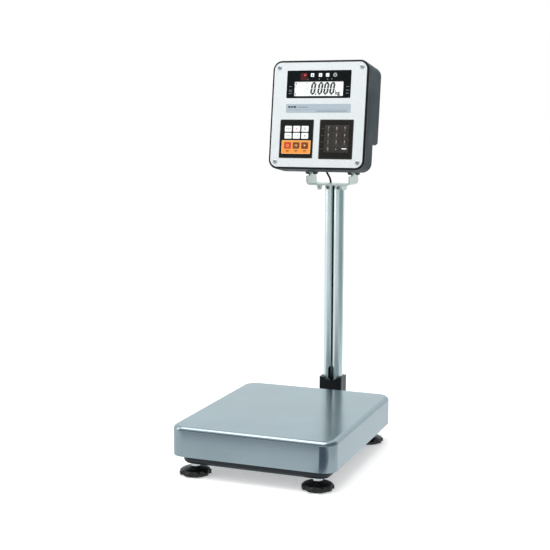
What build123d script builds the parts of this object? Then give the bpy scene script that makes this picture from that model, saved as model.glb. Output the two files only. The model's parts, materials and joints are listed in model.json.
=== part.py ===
from build123d import *
import os
from math import sin, cos, radians

# Bench scale: weighing base, column behind it and a tilting display.
# Millimetres, +Z up, +X to the operator's right, -Y towards the operator.
# The origin is on the floor, under the middle of the overall box.

os.makedirs("parts", exist_ok=True)

# ---------------------------------------------------------------- dimensions
PAN_W, PAN_D = 330.0, 400.0      # weighing pan
PAN_Y = -68.0                    # middle of the pan
PAN_TOP = 100.0
PAN_SKIRT = 41.8                 # lower edge of the pan's skirt
PAN_T = 1.5
PAN_R = 28.0

TRAY_W, TRAY_D = 299.0, 369.0    # base tray
TRAY_Z0, TRAY_Z1 = 23.5, 60.0
TRAY_T = 2.5
BEAM_T = 4.0                     # centre beam plate on the tray floor

FOOT_X, FOOT_Y = 124.3, 167.0    # feet, from the middle of the pan
FOOT_R = 31.0
STUD_R = 5.0
STUD_CLEAR = 0.07

CELL_L, CELL_W, CELL_H = 150.0, 40.0, 40.0
CELL_Z = 40.5                    # underside of the load cell
CARRIER_Z = 86.5                 # underside of the pan carrier plate
CARRIER_T = 3.0
PAD_X, PAD_Y = 112.0, 132.0

COL_Y = 234.0                    # middle of the column
LOBE_X, LOBE_R = 9.7, 12.5       # two round lobes of the extrusion
COL_Z0, COL_Z1 = 50.0, 537.0
CABLE_X, CABLE_Y = -10.0, 236.0  # cable inside the column
CABLE_R = 2.25
HOLD_W, HOLD_D = 52.0, 41.0
HOLD_Z0, HOLD_Z1 = 23.5, 105.0

YOKE_Z0, YOKE_T = 537.0, 3.0     # bracket plate on the column
EAR_X = 48.5                     # middle of an ear's thickness
PIVOT_Y, PIVOT_Z = 218.0, 576.0  # display tilt axis

TILT = 8.0                       # lean of the display at rest
DISP_X, DISP_Y, DISP_Z = -12.0, 149.0, 688.8   # middle of the front panel
PANEL_W, PANEL_H, PANEL_R = 206.5, 223.8, 16.0
CASE_W, CASE_H, CASE_R = 215.5, 233.0, 20.5
BEZEL_D = 14.0                   # depth of the front bezel
CASE_D, CASE_D_LOW = 105.2, 65.0 # housing depth above and below the step
STEP_H = 62.0                    # height of the shallow lower part
SLOPE_Y, SLOPE_Z = 10.0, 24.0    # slanted rear edge of the step
WALL = 3.0

KEY_GAP = 0.2

t = radians(TILT)
UP = Vector(0, sin(t), cos(t))
OUT = Vector(0, -cos(t), sin(t))
DISP = Plane(origin=(DISP_X, DISP_Y, DISP_Z), x_dir=(1, 0, 0), z_dir=(0, -cos(t), sin(t)))


def disp_point(x, y, z):
    """Point of the display frame: x right, y up the panel, z out of it."""
    return DISP.from_local_coords(Vector(x, y, z))


def hinge_plane(x):
    """Plane across the battery cover's hinge, x to the right of the cover's middle."""
    return Plane(origin=disp_point(COVER_X + x, HINGE_Y, HINGE_Z), x_dir=(0, cos(t), -sin(t)), z_dir=(1, 0, 0))


# ================================================================ weighing pan
with BuildPart() as weighing_pan:
    with BuildSketch(Plane.XY.offset(PAN_SKIRT)):
        with Locations((0, PAN_Y)):
            RectangleRounded(PAN_W, PAN_D, PAN_R)
    extrude(amount=PAN_TOP - PAN_SKIRT)
    fillet(weighing_pan.edges().group_by(Axis.Z)[-1], 8.5)
    offset(amount=-PAN_T, openings=weighing_pan.faces().sort_by(Axis.Z)[0])
weighing_pan.part.label = "weighing_pan"
export_step(weighing_pan.part, "parts/weighing_pan.step")

# ================================================================ base frame
FEET = {
    "front_left": (-FOOT_X, PAN_Y - FOOT_Y),
    "front_right": (FOOT_X, PAN_Y - FOOT_Y),
    "rear_left": (-FOOT_X, PAN_Y + FOOT_Y),
    "rear_right": (FOOT_X, PAN_Y + FOOT_Y),
}
FOOT_SPOTS = list(FEET.values())
PAD_SPOTS = [(sx * PAD_X, PAN_Y + sy * PAD_Y) for sx in (-1, 1) for sy in (-1, 1)]
STOP_SPOTS = [(sx * 126.0, PAN_Y + sy * 118.0) for sx in (-1, 1) for sy in (-1, 1)]
CELL_REAR = [(sx * 10.0, PAN_Y + y) for sx in (-1, 1) for y in (45.0, 64.0)]
CELL_FRONT = [(sx * 10.0, PAN_Y + y) for sx in (-1, 1) for y in (-64.0, -45.0)]
ARM_SPOTS = [(sx * 22.0, PAN_Y + y) for sx in (-1, 1) for y in (112.0, 164.0)]
FLOOR = TRAY_Z0 + TRAY_T
BEAM_TOP = FLOOR + BEAM_T

with BuildPart() as tray_hollow:
    with BuildSketch(Plane.XY.offset(FLOOR)):
        with Locations((0, PAN_Y)):
            RectangleRounded(TRAY_W - 2 * TRAY_T, TRAY_D - 2 * TRAY_T, 24 - TRAY_T)
    extrude(amount=TRAY_Z1 - TRAY_Z0)
    fillet(tray_hollow.edges().group_by(Axis.Z)[0], 5.5)

with BuildPart() as base_frame:
    with BuildSketch(Plane.XY.offset(TRAY_Z0)):
        with Locations((0, PAN_Y)):
            RectangleRounded(TRAY_W, TRAY_D, 24)
    extrude(amount=TRAY_Z1 - TRAY_Z0)
    fillet(base_frame.edges().group_by(Axis.Z)[0], 8)
    add(tray_hollow.part, mode=Mode.SUBTRACT)
    # two long windows in the floor, each side of the centre beam
    with BuildSketch(Plane.XY.offset(TRAY_Z0)):
        with Locations((-86, PAN_Y), (86, PAN_Y)):
            RectangleRounded(68, 216, 12)
    extrude(amount=TRAY_T, mode=Mode.SUBTRACT)
    # raised lip around each window
    with BuildSketch(Plane.XY.offset(FLOOR)):
        with Locations((-86, PAN_Y), (86, PAN_Y)):
            RectangleRounded(74, 222, 15)
            RectangleRounded(68, 216, 12, mode=Mode.SUBTRACT)
    extrude(amount=5)
    # centre beam: a welded channel
    with BuildSketch(Plane.XY.offset(FLOOR)):
        with Locations((0, PAN_Y)):
            Rectangle(92, 356)
    extrude(amount=BEAM_T)
    with BuildSketch(Plane.XY.offset(BEAM_TOP)):
        with Locations((-44.5, PAN_Y), (44.5, PAN_Y)):
            Rectangle(3, 356)
    extrude(amount=14)
    # threaded bosses of the feet
    with BuildSketch(Plane.XY.offset(FLOOR)):
        with Locations(*FOOT_SPOTS):
            Circle(9.5)
    extrude(amount=16)
    with BuildSketch(Plane.XY.offset(TRAY_Z0)):
        with Locations(*FOOT_SPOTS):
            Circle(STUD_R + STUD_CLEAR)
    extrude(amount=40, mode=Mode.SUBTRACT)
    # bolt holes of the load cell and of the column arm
    with BuildSketch(Plane.XY.offset(TRAY_Z0)):
        with Locations(*CELL_REAR):
            Circle(3.3)
        with Locations(*ARM_SPOTS):
            Circle(3.3)
    extrude(amount=12, mode=Mode.SUBTRACT)
    # hole of the cable grommet in the rear wall
    with BuildSketch(Plane.XZ.offset(-(PAN_Y + TRAY_D / 2))):
        with Locations((CABLE_X, 43)):
            Circle(5)
    extrude(amount=8, both=True, mode=Mode.SUBTRACT)
base_frame.part.label = "base_frame"
export_step(base_frame.part, "parts/base_frame.step")

with BuildPart() as load_cell_spacers:
    with BuildSketch(Plane.XY.offset(BEAM_TOP)):
        with Locations((0, PAN_Y + 54.5)):
            Rectangle(CELL_W, 39)
        with Locations(*CELL_REAR):
            Circle(3.3, mode=Mode.SUBTRACT)
    extrude(amount=CELL_Z - BEAM_TOP)
    with BuildSketch(Plane.XY.offset(CELL_Z + CELL_H)):
        with Locations((0, PAN_Y - 54.5)):
            Rectangle(CELL_W, 39)
        with Locations(*CELL_FRONT):
            Circle(3.3, mode=Mode.SUBTRACT)
    extrude(amount=CARRIER_Z - CELL_Z - CELL_H)
load_cell_spacers.part.label = "load_cell_spacers"
export_step(load_cell_spacers.part, "parts/load_cell_spacers.step")

with BuildPart() as load_cell:
    with BuildSketch(Plane.XY.offset(CELL_Z)):
        with Locations((0, PAN_Y)):
            Rectangle(CELL_W, CELL_L)
    extrude(amount=CELL_H)
    fillet(load_cell.edges().filter_by(Axis.Z), 1.5)
    # the binocular bore that makes the bending parallelogram
    with BuildSketch(Plane.YZ):
        with Locations((PAN_Y - 15, CELL_Z + CELL_H / 2), (PAN_Y + 15, CELL_Z + CELL_H / 2)):
            Circle(14.5)
        with Locations((PAN_Y, CELL_Z + CELL_H / 2)):
            Rectangle(30, 12)
    extrude(amount=CELL_W, both=True, mode=Mode.SUBTRACT)
    with BuildSketch(Plane.XY.offset(CELL_Z)):
        with Locations(*CELL_REAR):
            Circle(3.05)
    extrude(amount=18, mode=Mode.SUBTRACT)
    with BuildSketch(Plane.XY.offset(CELL_Z + CELL_H)):
        with Locations(*CELL_FRONT):
            Circle(3.05)
    extrude(amount=-18, mode=Mode.SUBTRACT)
load_cell.part.label = "load_cell"
export_step(load_cell.part, "parts/load_cell.step")

with BuildPart() as upper_frame:
    with BuildSketch(Plane.XY.offset(CARRIER_Z - 12)):
        with Locations((0, PAN_Y)):
            RectangleRounded(276, 320, 22)
    extrude(amount=12 + CARRIER_T)
    fillet(upper_frame.edges().group_by(Axis.Z)[-1], 4)
    offset(amount=-CARRIER_T, openings=upper_frame.faces().sort_by(Axis.Z)[0])
    with BuildSketch(Plane.XY.offset(CARRIER_Z)):
        with Locations((-77, PAN_Y), (77, PAN_Y)):
            RectangleRounded(50, 212, 14)
    extrude(amount=CARRIER_T, mode=Mode.SUBTRACT)
    # stiffening lips of the two windows
    with BuildSketch(Plane.XY.offset(CARRIER_Z - 7)):
        with Locations((-77, PAN_Y), (77, PAN_Y)):
            RectangleRounded(56, 218, 17)
            RectangleRounded(50, 212, 14, mode=Mode.SUBTRACT)
    extrude(amount=7)
    with BuildSketch(Plane.XY.offset(CARRIER_Z)):
        with Locations(*CELL_FRONT):
            Circle(3.3)
    extrude(amount=CARRIER_T, mode=Mode.SUBTRACT)
upper_frame.part.label = "upper_frame"
export_step(upper_frame.part, "parts/upper_frame.step")

with BuildPart() as pan_pads:
    with BuildSketch(Plane.XY.offset(CARRIER_Z + CARRIER_T)):
        with Locations(*PAD_SPOTS):
            Circle(11)
    extrude(amount=PAN_TOP - PAN_T - CARRIER_Z - CARRIER_T)
    fillet(pan_pads.edges().group_by(Axis.Z)[-1], 1.2)
pan_pads.part.label = "pan_pads"
export_step(pan_pads.part, "parts/pan_pads.step")

# stop screws stand on the tray floor and end 1 mm under the carrier
with BuildPart() as overload_stops:
    with BuildSketch(Plane.XY.offset(FLOOR)):
        with Locations(*STOP_SPOTS):
            RegularPolygon(7.5, 6)
    extrude(amount=8)
    with BuildSketch(Plane.XY.offset(FLOOR)):
        with Locations(*STOP_SPOTS):
            Circle(4)
    extrude(amount=CARRIER_Z - 1.0 - FLOOR)
overload_stops.part.label = "overload_stops"
export_step(overload_stops.part, "parts/overload_stops.step")

with BuildPart() as level_vial:
    with BuildSketch(Plane.XY.offset(FLOOR)):
        with Locations((70, PAN_Y + 140)):
            Circle(11)
    extrude(amount=9)
    fillet(level_vial.edges().group_by(Axis.Z)[-1], 1.2)
level_vial.part.label = "level_vial"
export_step(level_vial.part, "parts/level_vial.step")

# ================================================================ feet
KNOB_Z0, KNOB_Z1 = 3.0, 15.5
for name, (fx, fy) in FEET.items():
    # rubber sole, hollow on top so that the knob's button turns in it
    with BuildPart() as foot_sole:
        with BuildSketch():
            with Locations((fx, fy)):
                Circle(24)
        extrude(amount=3)
        chamfer(foot_sole.edges().group_by(Axis.Z)[0], 0.6)
        with BuildSketch(Plane.XY.offset(3)):
            with Locations((fx, fy)):
                Circle(6.0)
        extrude(amount=-1.5, mode=Mode.SUBTRACT)
    foot_sole.part.label = f"foot_sole_{name}"
    export_step(foot_sole.part, f"parts/foot_sole_{name}.step")

    # scalloped knob, domed on top, with its moulded-in threaded stud
    with BuildPart() as foot_knob:
        with BuildSketch(Plane.XY.offset(KNOB_Z0)):
            with Locations((fx, fy)):
                Circle(FOOT_R)
            with Locations((fx, fy)):
                with PolarLocations(FOOT_R + 3.2, 9):
                    Circle(7.6, mode=Mode.SUBTRACT)
        extrude(amount=KNOB_Z1 - KNOB_Z0)
        with BuildSketch(Plane.XZ.offset(-fy)):
            with BuildLine():
                Polyline((fx + 10, KNOB_Z1), (fx + 20, KNOB_Z1 - 1.2), (fx + 27, KNOB_Z1 - 3.6),
                         (fx + 31.4, KNOB_Z1 - 7.5), (fx + 31.4, KNOB_Z1 + 1), (fx + 10, KNOB_Z1 + 1),
                         (fx + 10, KNOB_Z1))
            make_face()
        revolve(axis=Axis((fx, fy, 0), (0, 0, 1)), mode=Mode.SUBTRACT)
        with BuildSketch(Plane.XY.offset(KNOB_Z1)):
            with Locations((fx, fy)):
                Circle(9)
        extrude(amount=2.5)
        with BuildSketch(Plane.XY.offset(KNOB_Z0)):
            with Locations((fx, fy)):
                Circle(5.7)
        extrude(amount=-1.4)
        with BuildSketch(Plane.XY.offset(KNOB_Z1)):
            with Locations((fx, fy)):
                Circle(STUD_R)
        extrude(amount=34)
    foot_knob.part.label = f"foot_knob_{name}"
    export_step(foot_knob.part, f"parts/foot_knob_{name}.step")

with BuildPart() as foot_lock_nuts:
    with BuildSketch(Plane.XY.offset(TRAY_Z0 - 5)):
        with Locations(*FOOT_SPOTS):
            RegularPolygon(9.8, 6)
        with Locations(*FOOT_SPOTS):
            Circle(STUD_R + STUD_CLEAR, mode=Mode.SUBTRACT)
    extrude(amount=5)
foot_lock_nuts.part.label = "foot_lock_nuts"
export_step(foot_lock_nuts.part, "parts/foot_lock_nuts.step")

# ================================================================ column arm, holder and column
ARM_Y0, ARM_Y1 = PAN_Y + 98.0, COL_Y + HOLD_D / 2 + 3.0
with BuildPart() as column_arm:
    with BuildSketch(Plane.XY.offset(TRAY_Z0 - 17)):
        with Locations((0, (ARM_Y0 + ARM_Y1) / 2)):
            Rectangle(62, ARM_Y1 - ARM_Y0)
    extrude(amount=17)
    fillet(column_arm.edges().group_by(Axis.Z)[-1].filter_by(Axis.Y), 4)
    with BuildSketch(Plane.XY.offset(TRAY_Z0 - 17)):
        with Locations((0, (ARM_Y0 + ARM_Y1) / 2)):
            Rectangle(56, ARM_Y1 - ARM_Y0 + 2)
    extrude(amount=14, mode=Mode.SUBTRACT)
    with BuildSketch(Plane.XY.offset(TRAY_Z0)):
        with Locations(*ARM_SPOTS):
            Circle(3.3)
        with Locations((-19, COL_Y - 14), (19, COL_Y - 14), (-19, COL_Y + 14), (19, COL_Y + 14)):
            Circle(2.2)
    extrude(amount=-4, mode=Mode.SUBTRACT)
    chamfer(column_arm.edges().filter_by(Axis.X).group_by(Axis.Z)[0], 5)
column_arm.part.label = "column_arm"
export_step(column_arm.part, "parts/column_arm.step")

# hex bolts: load cell's fixed end, live end and column arm
with BuildPart() as base_bolts:
    with BuildSketch(Plane.XY.offset(TRAY_Z0 - 4.5)):
        with Locations(*CELL_REAR):
            RegularPolygon(5.8, 6)
    extrude(amount=4.5)
    with BuildSketch(Plane.XY.offset(TRAY_Z0)):
        with Locations(*CELL_REAR):
            Circle(3.0)
    extrude(amount=CELL_Z + 16 - TRAY_Z0)
    with BuildSketch(Plane.XY.offset(CARRIER_Z + CARRIER_T)):
        with Locations(*CELL_FRONT):
            RegularPolygon(5.8, 6)
    extrude(amount=4.5)
    with BuildSketch(Plane.XY.offset(CARRIER_Z + CARRIER_T)):
        with Locations(*CELL_FRONT):
            Circle(3.0)
    extrude(amount=-(CARRIER_T + 6 + 16))
    with BuildSketch(Plane.XY.offset(TRAY_Z0 - 3 - 4.5)):
        with Locations(*ARM_SPOTS):
            RegularPolygon(5.8, 6)
    extrude(amount=4.5)
    with BuildSketch(Plane.XY.offset(TRAY_Z0 - 3)):
        with Locations(*ARM_SPOTS):
            Circle(3.0)
    extrude(amount=3 + TRAY_T + BEAM_T + 8)
    with BuildSketch(Plane.XY.offset(BEAM_TOP)):
        with Locations(*ARM_SPOTS):
            RegularPolygon(5.8, 6)
    extrude(amount=5)
    with BuildSketch(Plane.XY.offset(TRAY_Z0 - 3 - 2.5)):
        with Locations((-19, COL_Y - 14), (19, COL_Y - 14), (-19, COL_Y + 14), (19, COL_Y + 14)):
            Circle(3.6)
    extrude(amount=2.5)
    with BuildSketch(Plane.XY.offset(TRAY_Z0 - 3)):
        with Locations((-19, COL_Y - 14), (19, COL_Y - 14), (-19, COL_Y + 14), (19, COL_Y + 14)):
            Circle(1.8)
    extrude(amount=3 + 7.5)
base_bolts.part.label = "base_bolts"
export_step(base_bolts.part, "parts/base_bolts.step")

# outline of the extrusion: two lobes and the web between them
with BuildSketch() as column_outline:
    with Locations((-LOBE_X, 0), (LOBE_X, 0)):
        Circle(LOBE_R)
    Rectangle(2 * LOBE_X, 19)
with BuildSketch() as column_hollow:
    with Locations((-LOBE_X, 0), (LOBE_X, 0)):
        Circle(LOBE_R - 2.0)
    Rectangle(2 * LOBE_X, 12)

with BuildPart() as column:
    with BuildSketch(Plane.XY.offset(COL_Z0)):
        with Locations((0, COL_Y)):
            add(column_outline.sketch)
            add(column_hollow.sketch, mode=Mode.SUBTRACT)
        # the groove down the front
        with Locations((0, COL_Y - 10)):
            Rectangle(4.4, 12, mode=Mode.SUBTRACT)
    extrude(amount=COL_Z1 - COL_Z0)
    # cable entry in the front, just above the holder
    with BuildSketch(Plane.XZ.offset(-(COL_Y - 6))):
        with Locations((0, 113)):
            SlotCenterPoint((0, 0), (0, 9), 15, rotation=0)
    extrude(amount=10, mode=Mode.SUBTRACT)
    # screw holes at the top, in the front of both lobes
    with BuildSketch(Plane.XZ.offset(-(COL_Y - 6))):
        with Locations((-11.5, COL_Z1 - 7), (11.5, COL_Z1 - 7)):
            Circle(2.2)
    extrude(amount=10, mode=Mode.SUBTRACT)
column.part.label = "column"
export_step(column.part, "parts/column.step")

with BuildPart() as column_holder:
    with BuildSketch(Plane.XY.offset(HOLD_Z0)):
        with Locations((0, COL_Y)):
            RectangleRounded(HOLD_W, HOLD_D, 3.5)
    extrude(amount=HOLD_Z1 - HOLD_Z0)
    # the top edge dips towards the middle, front and rear
    with BuildSketch(Plane.XZ.offset(-COL_Y)):
        with BuildLine():
            Polyline((-17, HOLD_Z1 + 1), (-17, HOLD_Z1), (-12, HOLD_Z1 - 4), (-1, HOLD_Z1 - 9),
                     (1, HOLD_Z1 - 9),
                     (12, HOLD_Z1 - 4), (17, HOLD_Z1), (17, HOLD_Z1 + 1), (-17, HOLD_Z1 + 1))
        make_face()
    extrude(amount=40, both=True, mode=Mode.SUBTRACT)
    # socket of the column
    with BuildSketch(Plane.XY.offset(COL_Z0)) as socket_outline:
        with Locations((0, COL_Y)):
            add(column_outline.sketch)
        offset(amount=0.15)
    extrude(amount=80, mode=Mode.SUBTRACT)
    # cavity under the column, where the cable turns up
    with BuildSketch(Plane.XY.offset(HOLD_Z0 + 3)):
        with Locations((0, COL_Y)):
            Rectangle(34, 24)
    extrude(amount=COL_Z0 - HOLD_Z0 - 1, mode=Mode.SUBTRACT)
    with BuildSketch(Plane.XZ.offset(-(COL_Y - HOLD_D / 2 - 1))):
        with Locations((CABLE_X, HOLD_Z0 + 6.5)):
            Circle(3.2)
    extrude(amount=-16, mode=Mode.SUBTRACT)
    # holes of the holder's screws
    with BuildSketch(Plane.XY.offset(HOLD_Z0)):
        with Locations((-19, COL_Y - 14), (19, COL_Y - 14), (-19, COL_Y + 14), (19, COL_Y + 14)):
            Circle(1.87)
    extrude(amount=8.5, mode=Mode.SUBTRACT)
column_holder.part.label = "column_holder"
export_step(column_holder.part, "parts/column_holder.step")

# ================================================================ yoke on the column
with BuildPart() as top_bracket:
    # plate with a round bend up into each ear
    with BuildSketch(Plane.XZ.offset(-(PIVOT_Y - 34))):
        with Locations((0, YOKE_Z0 + 30)):
            RectangleRounded(2 * EAR_X + 3, 60, 9)
            RectangleRounded(2 * EAR_X - 3, 54, 6, mode=Mode.SUBTRACT)
        with Locations((0, YOKE_Z0 + 60)):
            Rectangle(120, 12, mode=Mode.SUBTRACT)
    extrude(amount=-64)
    # side outline of the ears
    with BuildSketch(Plane.YZ):
        with BuildLine():
            Polyline((PIVOT_Y - 34, YOKE_Z0 - 1), (PIVOT_Y + 30, YOKE_Z0 - 1), (PIVOT_Y + 30, YOKE_Z0 + 13),
                     (PIVOT_Y + 11, PIVOT_Z + 4), (PIVOT_Y - 11.6, PIVOT_Z), (PIVOT_Y - 12, PIVOT_Z - 14),
                     (PIVOT_Y - 16, PIVOT_Z - 19), (PIVOT_Y - 34, PIVOT_Z - 19.5),
                     (PIVOT_Y - 34, YOKE_Z0 - 1))
        make_face()
        with Locations((PIVOT_Y, PIVOT_Z)):
            Circle(12)
    extrude(amount=80, both=True, mode=Mode.INTERSECT)
    with BuildSketch(Plane.YZ):
        with Locations((PIVOT_Y, PIVOT_Z)):
            Circle(3.06)
    extrude(amount=80, both=True, mode=Mode.SUBTRACT)
    # hole of the cable
    with BuildSketch(Plane.XY.offset(YOKE_Z0)):
        with Locations((CABLE_X, CABLE_Y)):
            Circle(4.2)
    extrude(amount=YOKE_T, mode=Mode.SUBTRACT)
    # tongues inside the column, and two stiffening tabs beside it
    with BuildSketch(Plane.XY.offset(YOKE_Z0)):
        with Locations((-12, COL_Y - 6.3), (12, COL_Y - 6.3)):
            Rectangle(9, 3)
    extrude(amount=-14)
    for x0 in (-30.0, 27.0):
        with BuildSketch(Plane.YZ.offset(x0)):
            with BuildLine():
                Polyline((COL_Y - 39, YOKE_Z0), (COL_Y - 31, YOKE_Z0 - 11), (COL_Y - 10, YOKE_Z0 - 11),
                         (COL_Y - 2, YOKE_Z0), (COL_Y - 39, YOKE_Z0))
            make_face()
        extrude(amount=3)
    with BuildSketch(Plane.XZ.offset(-(COL_Y - 10))):
        with Locations((-11.5, COL_Z1 - 7), (11.5, COL_Z1 - 7)):
            Circle(2.02)
    extrude(amount=-8, mode=Mode.SUBTRACT)
top_bracket.part.label = "top_bracket"
export_step(top_bracket.part, "parts/top_bracket.step")

with BuildPart() as bracket_screws:
    with BuildSketch(Plane.XZ.offset(-(COL_Y - LOBE_R - 0.05))):
        with Locations((-11.5, COL_Z1 - 7), (11.5, COL_Z1 - 7)):
            Circle(3.8)
    extrude(amount=2.2)
    fillet(bracket_screws.edges().group_by(Axis.Y)[0], 1.0)
    with BuildSketch(Plane.XZ.offset(-(COL_Y - LOBE_R - 0.05))):
        with Locations((-11.5, COL_Z1 - 7), (11.5, COL_Z1 - 7)):
            Circle(2.0)
    extrude(amount=-8)
bracket_screws.part.label = "bracket_screws"
export_step(bracket_screws.part, "parts/bracket_screws.step")

# ================================================================ load cell cable
def corner_radii(points, largest):
    """Arc radius at each inner point: as large as its two runs allow."""
    radii = []
    for a, b, c in zip(points, points[1:], points[2:]):
        u, v = Vector(*b) - Vector(*a), Vector(*c) - Vector(*b)
        turn = radians(u.get_angle(v))
        radii.append(round(min(largest, 0.45 * min(u.length, v.length) * cos(turn / 2) / sin(turn / 2)), 2))
    return radii


CELL_END = PAN_Y + CELL_L / 2
cable_route = [
    (CABLE_X, CELL_END, 54), (CABLE_X, CELL_END + 30, 54), (CABLE_X, CELL_END + 72, 44.5),
    (CABLE_X, CELL_END + 102, 43.1), (CABLE_X, CELL_END + 115, 42.4), (CABLE_X, CELL_END + 142, HOLD_Z0 + 6.5),
    (CABLE_X, CABLE_Y, HOLD_Z0 + 6.5), (CABLE_X, CABLE_Y, YOKE_Z0),
]
cable_radii = corner_radii(cable_route, 60)
cable_radii[-1] = 14.0
print("cable radii", cable_radii)
with BuildPart() as signal_cable:
    with BuildLine() as cable_line:
        cable_path = FilletPolyline(*cable_route, radius=cable_radii)
    with BuildSketch(Plane(origin=cable_route[0], z_dir=Vector(*cable_route[1]) - Vector(*cable_route[0]))):
        Circle(CABLE_R)
    sweep(path=cable_line.line)
signal_cable.part.label = "signal_cable"
export_step(signal_cable.part, "parts/signal_cable.step")
print("cable length", round(cable_path.length, 1), "volume ratio",
      round(signal_cable.part.volume / (3.14159265 * CABLE_R ** 2 * cable_path.length), 4))

with BuildPart() as cable_grommet:
    with BuildSketch(Plane.XZ.offset(-(PAN_Y + TRAY_D / 2 + 1.5))):
        with Locations((CABLE_X, 43)):
            Circle(6.0)
            Circle(3.4, mode=Mode.SUBTRACT)
    extrude(amount=1.5)
    with BuildSketch(Plane.XZ.offset(-(PAN_Y + TRAY_D / 2))):
        with Locations((CABLE_X, 43)):
            Circle(5.0)
            Circle(3.4, mode=Mode.SUBTRACT)
    extrude(amount=TRAY_T)
    with BuildSketch(Plane.XZ.offset(-(PAN_Y + TRAY_D / 2 - TRAY_T))):
        with Locations((CABLE_X, 43)):
            Circle(6.0)
            Circle(3.4, mode=Mode.SUBTRACT)
    extrude(amount=1.5)
cable_grommet.part.label = "cable_grommet"
export_step(cable_grommet.part, "parts/cable_grommet.step")

# ================================================================ display housing
def local(shape):
    """Centre of an edge in the display frame."""
    return DISP.to_local_coords(shape.center())


LOW_TOP = -CASE_H / 2 + STEP_H            # height of the step in the display frame
SCREWS = [(sx * 92.5, sy * 101.0) for sx in (-1, 1) for sy in (-1, 1)]
WIN_X, WIN_Y, WIN_W, WIN_H = -1.9, 65.0, 144.0, 59.3
LCD_X, LCD_Y, LCD_W, LCD_H = -1.7, 55.3, 110.0, 31.0
PADL_X, PADL_Y, PADL_W, PADL_H = -46.0, -51.8, 76.0, 82.8
PADR_X, PADR_Y, PADR_W, PADR_H = 43.2, -52.3, 75.2, 84.1
GLAND_X, GLAND_Y = -17.0, -84.0
JACK_X, JACK_Y = 27.0, -86.0
COVER_X, COVER_Y, COVER_W, COVER_H = 0.0, 30.0, 130.0, 70.0
HINGE_Y, HINGE_Z = COVER_Y - COVER_H / 2 - 3.5, -CASE_D - 3.2   # battery cover's hinge
LUGS = Plane(origin=(0, PIVOT_Y, PIVOT_Z), x_dir=(0, cos(t), -sin(t)), z_dir=(1, 0, 0))
pivot_local = DISP.to_local_coords(Vector(0, PIVOT_Y, PIVOT_Z))
LUG_FRONT = -(-pivot_local.Z - CASE_D_LOW)   # lower rear wall, seen from the pivot
LUG_TOP = LOW_TOP - pivot_local.Y            # step, seen from the pivot

with BuildPart() as front_bezel:
    with BuildSketch(DISP.offset(-1)):
        RectangleRounded(CASE_W, CASE_H, CASE_R)
    extrude(amount=-(BEZEL_D - 1))
    fillet([e for e in front_bezel.edges() if local(e).Z > -1.01], 2.2)
    with BuildSketch(DISP.offset(-1)):
        RectangleRounded(PANEL_W + 0.5, PANEL_H + 0.5, PANEL_R + 0.2)
    extrude(amount=-1, mode=Mode.SUBTRACT)
    with BuildSketch(DISP.offset(-2)):
        RectangleRounded(PANEL_W - 10, PANEL_H - 10, 12)
        with Locations(*SCREWS):
            Circle(7.5, mode=Mode.SUBTRACT)
    extrude(amount=-BEZEL_D, mode=Mode.SUBTRACT)
    with BuildSketch(DISP.offset(-2)):
        with Locations(*SCREWS):
            Circle(2.1)
    extrude(amount=-BEZEL_D, mode=Mode.SUBTRACT)
front_bezel.part.label = "front_bezel"
export_step(front_bezel.part, "parts/front_bezel.step")

def step_slope(inset):
    """Wedge that slants the rear edge of the step; inset moves it into the housing."""
    lift = inset * (SLOPE_Y ** 2 + SLOPE_Z ** 2) ** 0.5 / SLOPE_Z
    front, rear = CASE_D - SLOPE_Z - 5, CASE_D + 10
    with BuildPart() as wedge:
        with BuildSketch(Plane(origin=disp_point(-130, 0, 0), x_dir=UP, z_dir=(1, 0, 0))):
            with BuildLine():
                Polyline((LOW_TOP + lift - 5 * SLOPE_Y / SLOPE_Z, -front),
                         (LOW_TOP + lift + (SLOPE_Z + 10) * SLOPE_Y / SLOPE_Z, -rear),
                         (LOW_TOP - 30, -rear), (LOW_TOP - 30, -front),
                         (LOW_TOP + lift - 5 * SLOPE_Y / SLOPE_Z, -front))
            make_face()
        extrude(amount=260)
    return wedge.part


# the hollow of the housing, with the same step and round corners as the outside
with BuildPart() as cavity:
    with BuildSketch(DISP.offset(-BEZEL_D)):
        RectangleRounded(CASE_W - 2 * WALL, CASE_H - 2 * WALL, CASE_R - WALL)
    extrude(amount=-(CASE_D - WALL - BEZEL_D))
    with BuildSketch(DISP.offset(-CASE_D_LOW + WALL)):
        with Locations((0, -CASE_H / 2 + STEP_H / 2 - 10 + WALL / 2)):
            Rectangle(CASE_W + 20, STEP_H + 20 + WALL)
    extrude(amount=-CASE_D, mode=Mode.SUBTRACT)
    fillet([e for e in cavity.edges() if local(e).Z < -CASE_D + WALL + 0.01], 8)
    fillet([e for e in cavity.edges()
            if abs(local(e).Z + CASE_D_LOW - WALL) < 0.01 and local(e).Y < LOW_TOP - 4], 6)
    add(step_slope(WALL), mode=Mode.SUBTRACT)

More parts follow.
